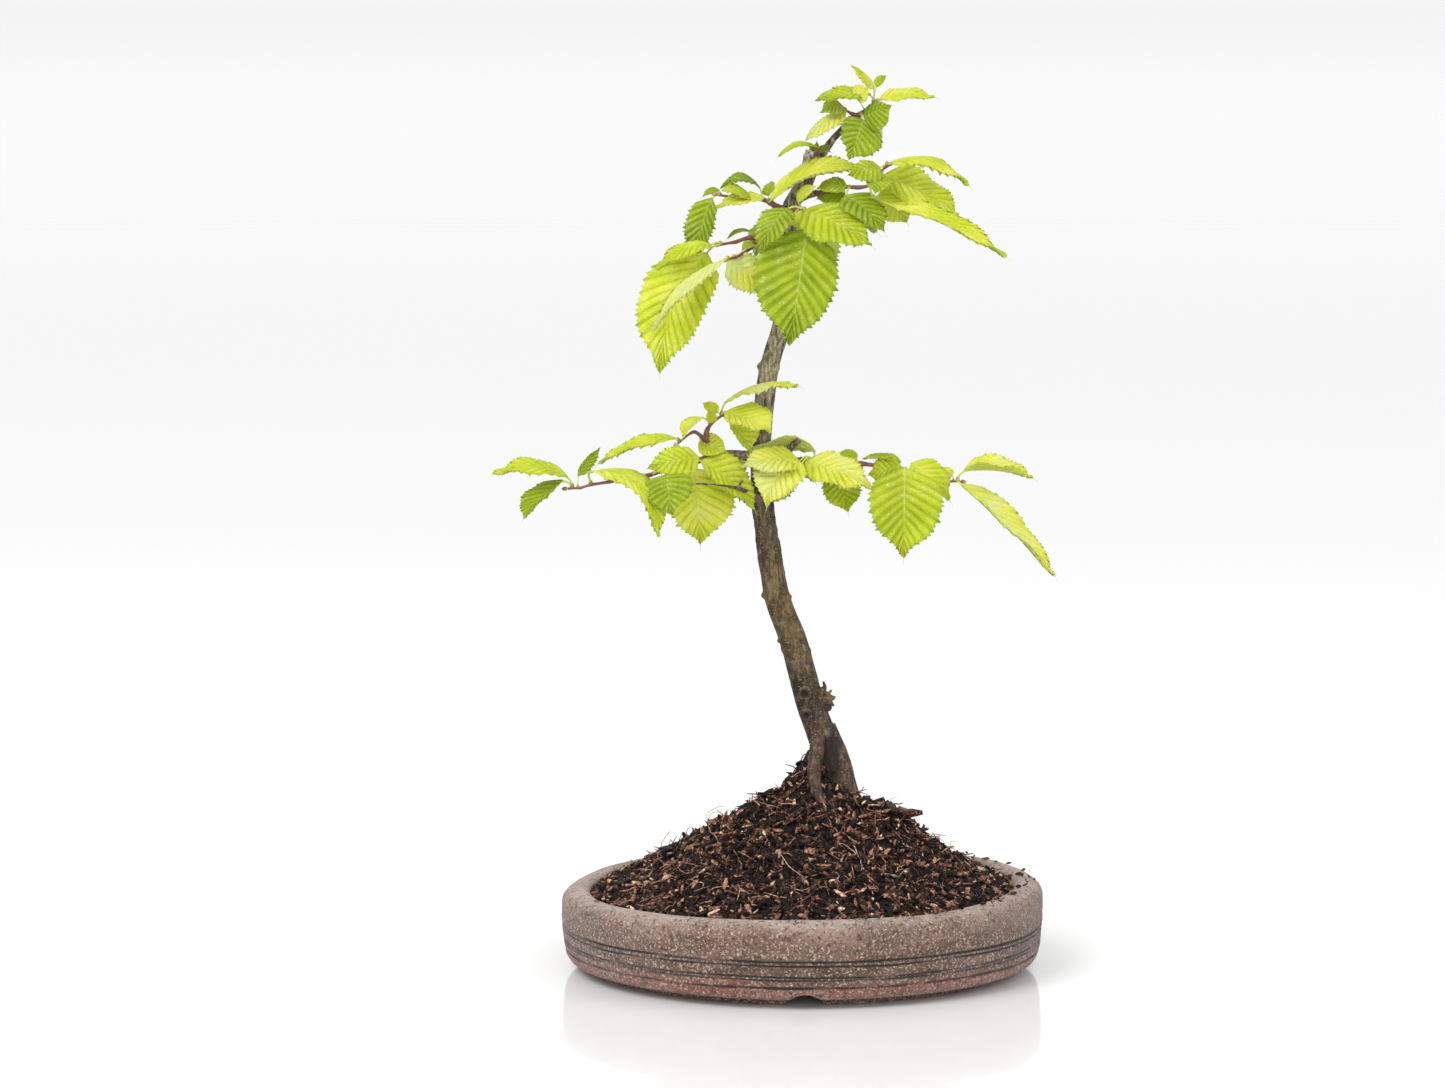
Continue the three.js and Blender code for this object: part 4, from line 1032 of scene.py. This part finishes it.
def bark_relief(points, straight, bumps):
    """How far the bark stands out at each point, how much painted shade its hollows and creases get, and how
    torn it is there.
    """
    x, y, z = points.T
    coarse = bell(z - ROUGH_LEVEL, 16) + 0.35 * ease((ROOT_LEVEL - z) / 20)
    grain = bumps.layers(straight, (1, (1.3, 1.3, 7.0)), (0.6, (0.8, 0.8, 2.6)))
    relief = 0.13 * grain + 0.3 * coarse * bumps(points, (1.6, 1.6, 1.8))
    relief += 0.3 * bumps(points, (6.0, 6.0, 11.0))
    hollow = np.zeros(len(points))
    torn = np.zeros(len(points))
    # Each scar has a raised lip and a sunk middle that gets painted shade.
    for scar_x, scar_y, scar_z, radius in SCARS:
        distance = np.hypot(x - scar_x, z - scar_z) + 50 * (y > scar_y)
        lip = bell(distance - radius, 0.55)
        relief += 1.1 * lip - 1.1 * bell(distance, radius * 0.5)
        torn = np.maximum(torn, lip)
        hollow = np.maximum(hollow, ease((0.95 * radius - distance) / (0.4 * radius)))
    # Each joint is a wrinkled ring, with painted shade in the crease just above it.
    for level in JOINTS:
        above_joint = z - level - 0.7 * bumps(points, 5.0)
        relief += 0.35 * bell(above_joint, 1.2)
        hollow = np.maximum(hollow, 0.55 * bell(above_joint - 1.3, 0.4) * ease(bumps(points, 3.0) + 0.6))
    # The shaded hollow between the front root and the trunk.
    behind_root = ease((y + 7.5) / 3) * ease((104 - z) / 6) * ease((17 - x) / 3)
    hollow = np.maximum(hollow, 0.85 * behind_root)
    stub = bell(np.linalg.norm(points - np.array(STUB[:3]), axis=1), STUB[3])
    relief += stub * (0.9 * bumps(points, 1.0) + 0.2)
    return relief, hollow, np.maximum(torn, stub)


def cut_top(points, bumps):
    """Presses the top of the trunk down to a rough sloping face, and tells which points lie on it."""
    top = np.array(CUT_TOP[:3]) + [0, 0, CUT_HEIGHT]
    slope = unit(np.array(CUT_SLOPE))
    over = (points - top) @ slope
    is_top = (np.linalg.norm(points - top, axis=1) < 7) & (over > 0) & (points[:, 0] < 6.2)
    points[is_top] -= slope * (over[is_top] * 0.8)[:, None]
    points[is_top] += slope * (1.2 * bumps(points[is_top], 1.1))[:, None]
    return is_top


def wood(materials):
    points, normals, faces = remeshed(wood_shells())
    heights = [row[2] for row in TRUNK]
    axis = np.stack([np.interp(points[:, 2], heights, [row[k] for row in TRUNK]) for k in (0, 1)], -1)
    straight = points.copy()
    straight[:, :2] -= axis
    bumps = Bumps(WOOD_SEED)
    relief, hollow, torn = bark_relief(points, straight, bumps)
    # The bark of limbs and twigs, further from the trunk's axis, is smoother.
    share = np.where(np.linalg.norm(straight[:, :2], axis=1) < TRUNK_REACH, 1, 0.35)
    young = youth(points)
    points = points + normals * (relief * share)[:, None]
    is_top = cut_top(points, bumps)
    # Painted shade: both sides of the wood, where its normals face left or right, are darker than its front.
    damp = 0.75 * ease((-normals[:, 0] - 0.2) / 0.75) + 0.45 * ease((normals[:, 0] - 0.6) / 0.4)
    piece = Piece("trunk_fine", "hollow", "lip", "cut", "young", "damp")
    piece.add(points, [faces], hollow=hollow, lip=torn, cut=is_top, young=young, damp=damp)
    piece.place(materials, "bark", "trunk")


# Pot


def pot_point(radius, turn, height):
    """A point on the pot. The rim is uneven and stands higher on the right."""
    share = height / RIM_HEIGHT
    tilt = RIM_TILT * radius * np.cos(turn) * share**2
    wave = 0.5 * np.sin(3 * turn + 1) * share**2 * (height > FLOOR_TOP)
    x = POT_X + radius * np.cos(turn)
    return np.stack([x, radius * POT_DEPTH_RATIO * np.sin(turn), height + tilt + wave], -1)


def pot_profile():
    """Radius and height of each ring of the pot, from the middle of its underside to that of its floor."""
    under = [(radius, FOOT_HEIGHT) for radius in (14, 45, 60, 66, FOOT_INNER - 0.4)]
    foot = [(FOOT_INNER, FOOT_HEIGHT - 0.5), (FOOT_INNER, 0.5), (FOOT_INNER + 0.5, 0), (FOOT_OUTER - 0.8, 0)]
    foot += [(FOOT_OUTER, 0.8), (FOOT_OUTER + 0.2, FOOT_HEIGHT - 0.4), (FOOT_OUTER + 0.8, FOOT_HEIGHT)]
    foot += [(95, FOOT_HEIGHT), (UNDERSIDE_RADIUS - 1, FOOT_HEIGHT)]
    foot.append((UNDERSIDE_RADIUS + 0.4, FOOT_HEIGHT + 0.4))
    heights = np.arange(*WALL_RINGS)
    wall = list(zip(POT_RADIUS - np.interp(heights, *zip(*WALL)), heights))
    rim = [(POT_RADIUS - inward, height) for height, inward in RIM]
    inside = [(2.0, 36.9), (0.9, 36.1), (0.2, 34.8), (0, 33.4), (-0.6, 29), (-1.5, 22), (-4, 14)]
    inside = [(RIM_INNER + outward, height) for outward, height in inside]
    floor = [(radius, FLOOR_TOP) for radius in (INNER_FLOOR_RADIUS, 60, 20)]
    return np.array(under + foot + wall + rim + inside + floor, float)


def notch_lift(points):
    """How high the arched notches under the rim of the foot reach over each point."""
    lift = np.zeros(len(points))
    flat = points[:, :2] - [POT_X, 0]
    for angle in NOTCH_ANGLES:
        turn = math.radians(angle)
        outward = flat @ [math.cos(turn), math.sin(turn)]
        aside = flat @ [-math.sin(turn), math.cos(turn)]
        arch = NOTCH_HEIGHT * np.sqrt(np.clip(1 - (aside / (NOTCH_WIDTH / 2)) ** 2, 0, 1))
        lift = np.maximum(lift, arch * ease((outward - NOTCH_INNER_END) / 4))
    return lift


def pot(materials):
    profile = pot_profile()
    rows = len(profile)
    turn = np.tile(circle(POT_SIDES), rows)
    radius, height = np.repeat(profile, POT_SIDES, 0).T
    bumps = Bumps(POT_SEED)
    even = pot_point(radius, turn, height)
    outside = (height > FOOT_HEIGHT + 1) & (radius > RIM_INNER + 0.5)
    groove = np.zeros(len(even))
    for level, depth, width in GROOVES:
        wander = level + 0.35 * bumps(even * [1, 1, 0] + level * 7, 30.0)
        strength = np.clip(0.85 + 0.8 * bumps(even * [1, 1, 0] - level * 5, 14.0), 0.2, 1.3)
        line = bell(height - wander, width) * strength * outside
        radius = radius - depth * line
        groove = np.maximum(groove, line)
    # Level marks of the potter's hands and tool, then dents and grains of any direction.
    marks = (0.35, (60.0, 60.0, 5.0)), (0.15, (26.0, 26.0, 1.6))
    dents = (0.55, 38.0), (0.16, 9.0), (0.1, 2.6), (0.07, 1.3)
    radius = radius + bumps.layers(even, *marks, *dents) * outside
    uneven = ease((height - 30) / 6) * bumps.layers(even, (0.75, 34.0), (0.2, 9.0), (0.08, 2.2))
    points = pot_point(radius, turn, height + uneven)
    points[:, 2] = np.maximum(points[:, 2], notch_lift(points))
    piece = Piece("pot_fine", "level", "groove")
    piece.add(points, closed(rows, POT_SIDES), level=height, groove=groove)
    drill(piece.place(materials, "stoneware", "pot"))


def drill(body):
    """Cuts the drain holes through the pot's floor."""
    cutters = Piece("drills")
    for x in DRAIN_HOLE_X:
        centres = np.array([[POT_X + x, 0.0, z] for z in (-2.0, 4.0, 8.0, 14.0)])
        cutters.add(rings(centres, np.full(4, DRAIN_HOLE_RADIUS), 32), closed(4, 32))
    drills = linked("drills", cutters.mesh())
    cut = body.modifiers.new("drain_holes", "BOOLEAN")
    cut.operation = "DIFFERENCE"
    cut.solver = "MANIFOLD"
    cut.object = drills
    whole = bpy.data.meshes.new_from_object(body.evaluated_get(bpy.context.evaluated_depsgraph_get()))
    body.modifiers.remove(cut)
    body.data = whole
    bpy.data.objects.remove(drills)


# Soil


def lump(x, y):
    fine = np.sin(x * 0.61 + 1.3 * np.sin(y * 0.37)) * np.cos(y * 0.53 - 0.8 * np.sin(x * 0.29))
    coarse = np.sin(x * 0.17 + 2) * np.sin(y * 0.21 - 1)
    return LUMP_HEIGHT * (fine + 0.7 * coarse)


def mound(turn, share):
    """Points of the soil's surface: share is 0 at the top of the mound and 1 at the rim."""
    reach = (RIM_INNER - 0.9) * share
    x = POT_X + reach * np.cos(turn) + MOUND_X * (1 - share)
    y = reach * POT_DEPTH_RATIO * np.sin(turn) + MOUND_Y * (1 - share)
    tilt = RIM_TILT * reach * np.cos(turn) * share**3
    collar = COLLAR_HEIGHT * bell(np.hypot(x - MOUND_X, y - MOUND_Y), COLLAR_SPREAD)
    shelf = SHELF_HEIGHT * bell(x - SHELF_X, 14) * bell(y - 4, 18)
    height = SOIL_EDGE_HEIGHT + MOUND_HEIGHT * (1 - share) ** 1.15 + collar + shelf
    return np.stack([x, y, height + lump(x, y) * (1 - share**6) + tilt], -1)


def ground_frames(turn, share):
    """Places on the soil, and for each the directions across, up the slope and out of it."""
    step = 0.02
    place = mound(turn, share)
    round_way = unit(mound(turn + step, share) - place)
    in_way = unit(mound(turn, np.maximum(share - step, 0.001)) - place)
    out_way = unit(np.cross(round_way, in_way))
    out_way *= np.sign(out_way[:, 2:])
    in_way = np.cross(out_way, round_way)
    return place, np.stack([round_way, in_way, out_way], 1)


def rim_frames(rng, count):
    """Places on the flat top of the pot's rim, most of them in front and on the right."""
    radius = rng.uniform(RIM_INNER + 0.5, POT_RADIUS - 4, count)
    return level_frames(pot_point(radius, rng.normal(-0.7, 0.8, count), np.full(count, RIM_HEIGHT)))


def level_frames(places):
    return places, np.tile(np.eye(3), (len(places), 1, 1))


def scatter(rng, count, nearest=0.04, furthest=1.0):
    """Random places on the mound: a turn, and a share of the way out to the rim."""
    turn = rng.uniform(0, 2 * math.pi, count)
    share = np.sqrt(rng.uniform(nearest**2, furthest**2, count))
    return turn, share


def turns_about(axis, angles):
    """A matrix for each angle, which turns about X, Y or Z: axis 0, 1 or 2."""
    one, other = (axis + 1) % 3, (axis + 2) % 3
    matrices = np.zeros((3, 3, len(angles)))
    matrices[axis, axis] = 1
    matrices[one, one] = np.cos(angles)
    matrices[other, other] = np.cos(angles)
    matrices[other, one] = np.sin(angles)
    matrices[one, other] = -np.sin(angles)
    return matrices


def spins(rng, count, tilt):
    """Random turns about the vertical, then tilts of up to about that many radians."""
    turn = rng.uniform(0, 2 * math.pi, count)
    lean_x, lean_y = rng.normal(0, tilt, (2, count))
    matrices = turns_about(0, lean_x), turns_about(1, lean_y), turns_about(2, turn)
    return np.einsum("abn,bcn,cdn->nad", *matrices)


def add_chips(piece, rng, count, sizes, flatness, tilt, shades, lift=0.3, ground=None):
    """Broken bits of bark and crumbs that lie on the soil, or on the ground that is given."""
    place, ways = ground or ground_frames(*scatter(rng, count))
    base, faces = ball(1)
    size = np.exp(rng.uniform(math.log(sizes[0]), math.log(sizes[1]), (count, 1, 1)))
    length = rng.uniform(0.8, 2.3, count)
    width = rng.uniform(0.4, 0.8, count)
    shape = np.stack([length, width, rng.uniform(*flatness, count)], -1)
    jitter = rng.uniform(0.62, 1.3, (count, len(base), 1))
    local = base[None] * jitter * shape[:, None] * size / 2
    local = np.einsum("nij,nkj->nki", spins(rng, count, tilt), local)
    world = place[:, None] + np.einsum("nki,nij->nkj", local, ways) + ways[:, 2][:, None] * size * lift
    all_faces = (faces[None] + (np.arange(count) * len(base))[:, None, None]).reshape(-1, 3)
    shade = np.repeat(np.clip(rng.normal(*shades, count), 0, 1), len(base))
    piece.add(world, [all_faces], flat=True, shade=shade)


def add_strands(piece, rng, count, lengths, radius, curl, shades, rows, sides, rise, lift):
    """Splinters and rootlets: thin, bent strands that lie over the soil."""
    place, ways = ground_frames(*scatter(rng, count, 0.06, 0.99))
    length = rng.uniform(*lengths, count)
    heading = rng.uniform(0, 2 * math.pi, count)
    bends = rng.normal(0, curl, (count, rows)).cumsum(1) * 0.6
    rises = rng.normal(0, rise, (count, rows))
    angle = heading[:, None] + bends
    step = (length / rows)[:, None]
    local = np.stack([np.cos(angle) * step, np.sin(angle) * step, rises * step], -1).cumsum(1)
    local[..., 2] += lift
    centres = place[:, None] + np.einsum("nki,nij->nkj", local, ways)
    taper = np.sin(math.pi * np.linspace(0.12, 0.9, rows)) ** 0.5
    shade = np.clip(rng.normal(*shades, count), 0, 1)
    wide = rng.uniform(0.6, 1.3, count) * radius
    faces = [around(rows, sides).reshape(-1, 4), strand_ends(rows, sides)]
    for index in range(count):
        piece.add(rings(centres[index], taper * wide[index], sides), faces, shade=shade[index])


def strand_ends(rows, sides):
    """Triangles that close both ends of a thin strand."""
    fan = np.array([[0, step + 1, step] for step in range(1, sides - 1)])
    return np.concatenate([fan, fan[:, ::-1] + (rows - 1) * sides])


def add_mound(piece):
    """The body of the soil, which follows the inside of the pot up to the edge of the mound."""
    share = np.repeat(np.linspace(1, 0.004, SOIL_RINGS), SOIL_SIDES)
    top = mound(np.tile(circle(SOIL_SIDES), SOIL_RINGS), share)
    rough = Bumps(MOUND_SEED).layers(top, (1.1, 5.0), (0.8, 2.4), (0.5, 1.3))
    top[:, 2] += (rough - 0.9) * (1 - 0.5 * share**8)
    sunk = [(INNER_FLOOR_RADIUS - 0.6, FLOOR_TOP + 0.3), (RIM_INNER - 4.5, 14.3), (RIM_INNER - 1.95, 22)]
    sunk.append((RIM_INNER - 0.6, 32.0))
    radius, height = np.repeat(sunk, SOIL_SIDES, 0).T
    walls = pot_point(radius, np.tile(circle(SOIL_SIDES), len(sunk)), height)
    shade = np.concatenate([np.zeros(len(walls)), 0.22 + 0.2 * rough])
    piece.add(np.concatenate([walls, top]), closed(SOIL_RINGS + len(sunk), SOIL_SIDES), shade=shade)


def soil(materials):
    rng = np.random.default_rng(BARK_SEED)
    mass = Piece("soil_mass", "shade")
    add_mound(mass)
    add_chips(mass, rng, *PEAT)
    mass.place(materials, "compost", "soil")
    bark = Piece("soil_bark", "shade")
    add_chips(bark, rng, *BARK)
    add_chips(bark, rng, *PALE_BITS, lift=0.5)
    add_chips(bark, rng, *RIM_CRUMBS, ground=rim_frames(rng, RIM_CRUMBS[0]))
    add_chips(bark, rng, *LEDGE_BITS, lift=0, ground=level_frames(np.array(LEDGE)))
    add_strands(bark, rng, *FIBRES)
    add_strands(bark, rng, *ROOTLETS)
    bark.place(materials, "compost")


# Stage


def stage(material):
    bpy.ops.mesh.primitive_circle_add(vertices=128, radius=FLOOR_RADIUS, fill_type="NGON")
    floor = bpy.context.object
    floor.name = "floor"
    floor.data.materials.append(material)


def light(name, place, size, power):
    data = bpy.data.lights.new(name, "AREA")
    data.shape = "DISK"
    data.size = size
    data.energy = power
    lamp = linked(name, data)
    lamp.location = place
    x, y, z = np.array(LIGHT_AIM) - np.array(place)
    lamp.rotation_euler = (math.atan2(math.hypot(x, y), -z), 0, math.atan2(-x, y))


def studio():
    scene = bpy.context.scene
    world = bpy.data.worlds.new("white_room")
    world.use_nodes = True
    background = world.node_tree.nodes["Background"]
    background.inputs["Color"].default_value = (1, 1, 1, 1)
    background.inputs["Strength"].default_value = 1.0
    scene.world = world
    for row in LIGHTS:
        light(*row)
    scene.view_settings.view_transform = "Standard"
    scene.view_settings.look = "None"


def camera():
    data = bpy.data.cameras.new("camera")
    data.lens = LENS
    data.sensor_width = SENSOR
    eye = linked("camera", data)
    away = CAMERA_DISTANCE * np.array([0, -math.cos(CAMERA_DOWN), math.sin(CAMERA_DOWN)])
    eye.location = (np.array(CAMERA_AIM) + SHIFT + away) * MM
    eye.rotation_euler = (math.pi / 2 - CAMERA_DOWN, 0, 0)
    bpy.context.scene.camera = eye


camera()
studio()
stage(floor_material())
foliage = [leaf_material(), shoot_material()]
for seed, name in enumerate(LEAVES):
    spray(name, foliage, seed + LEAF_SEED)
wood([bark_material()])
pot([stoneware_material()])
soil([soil_material()])
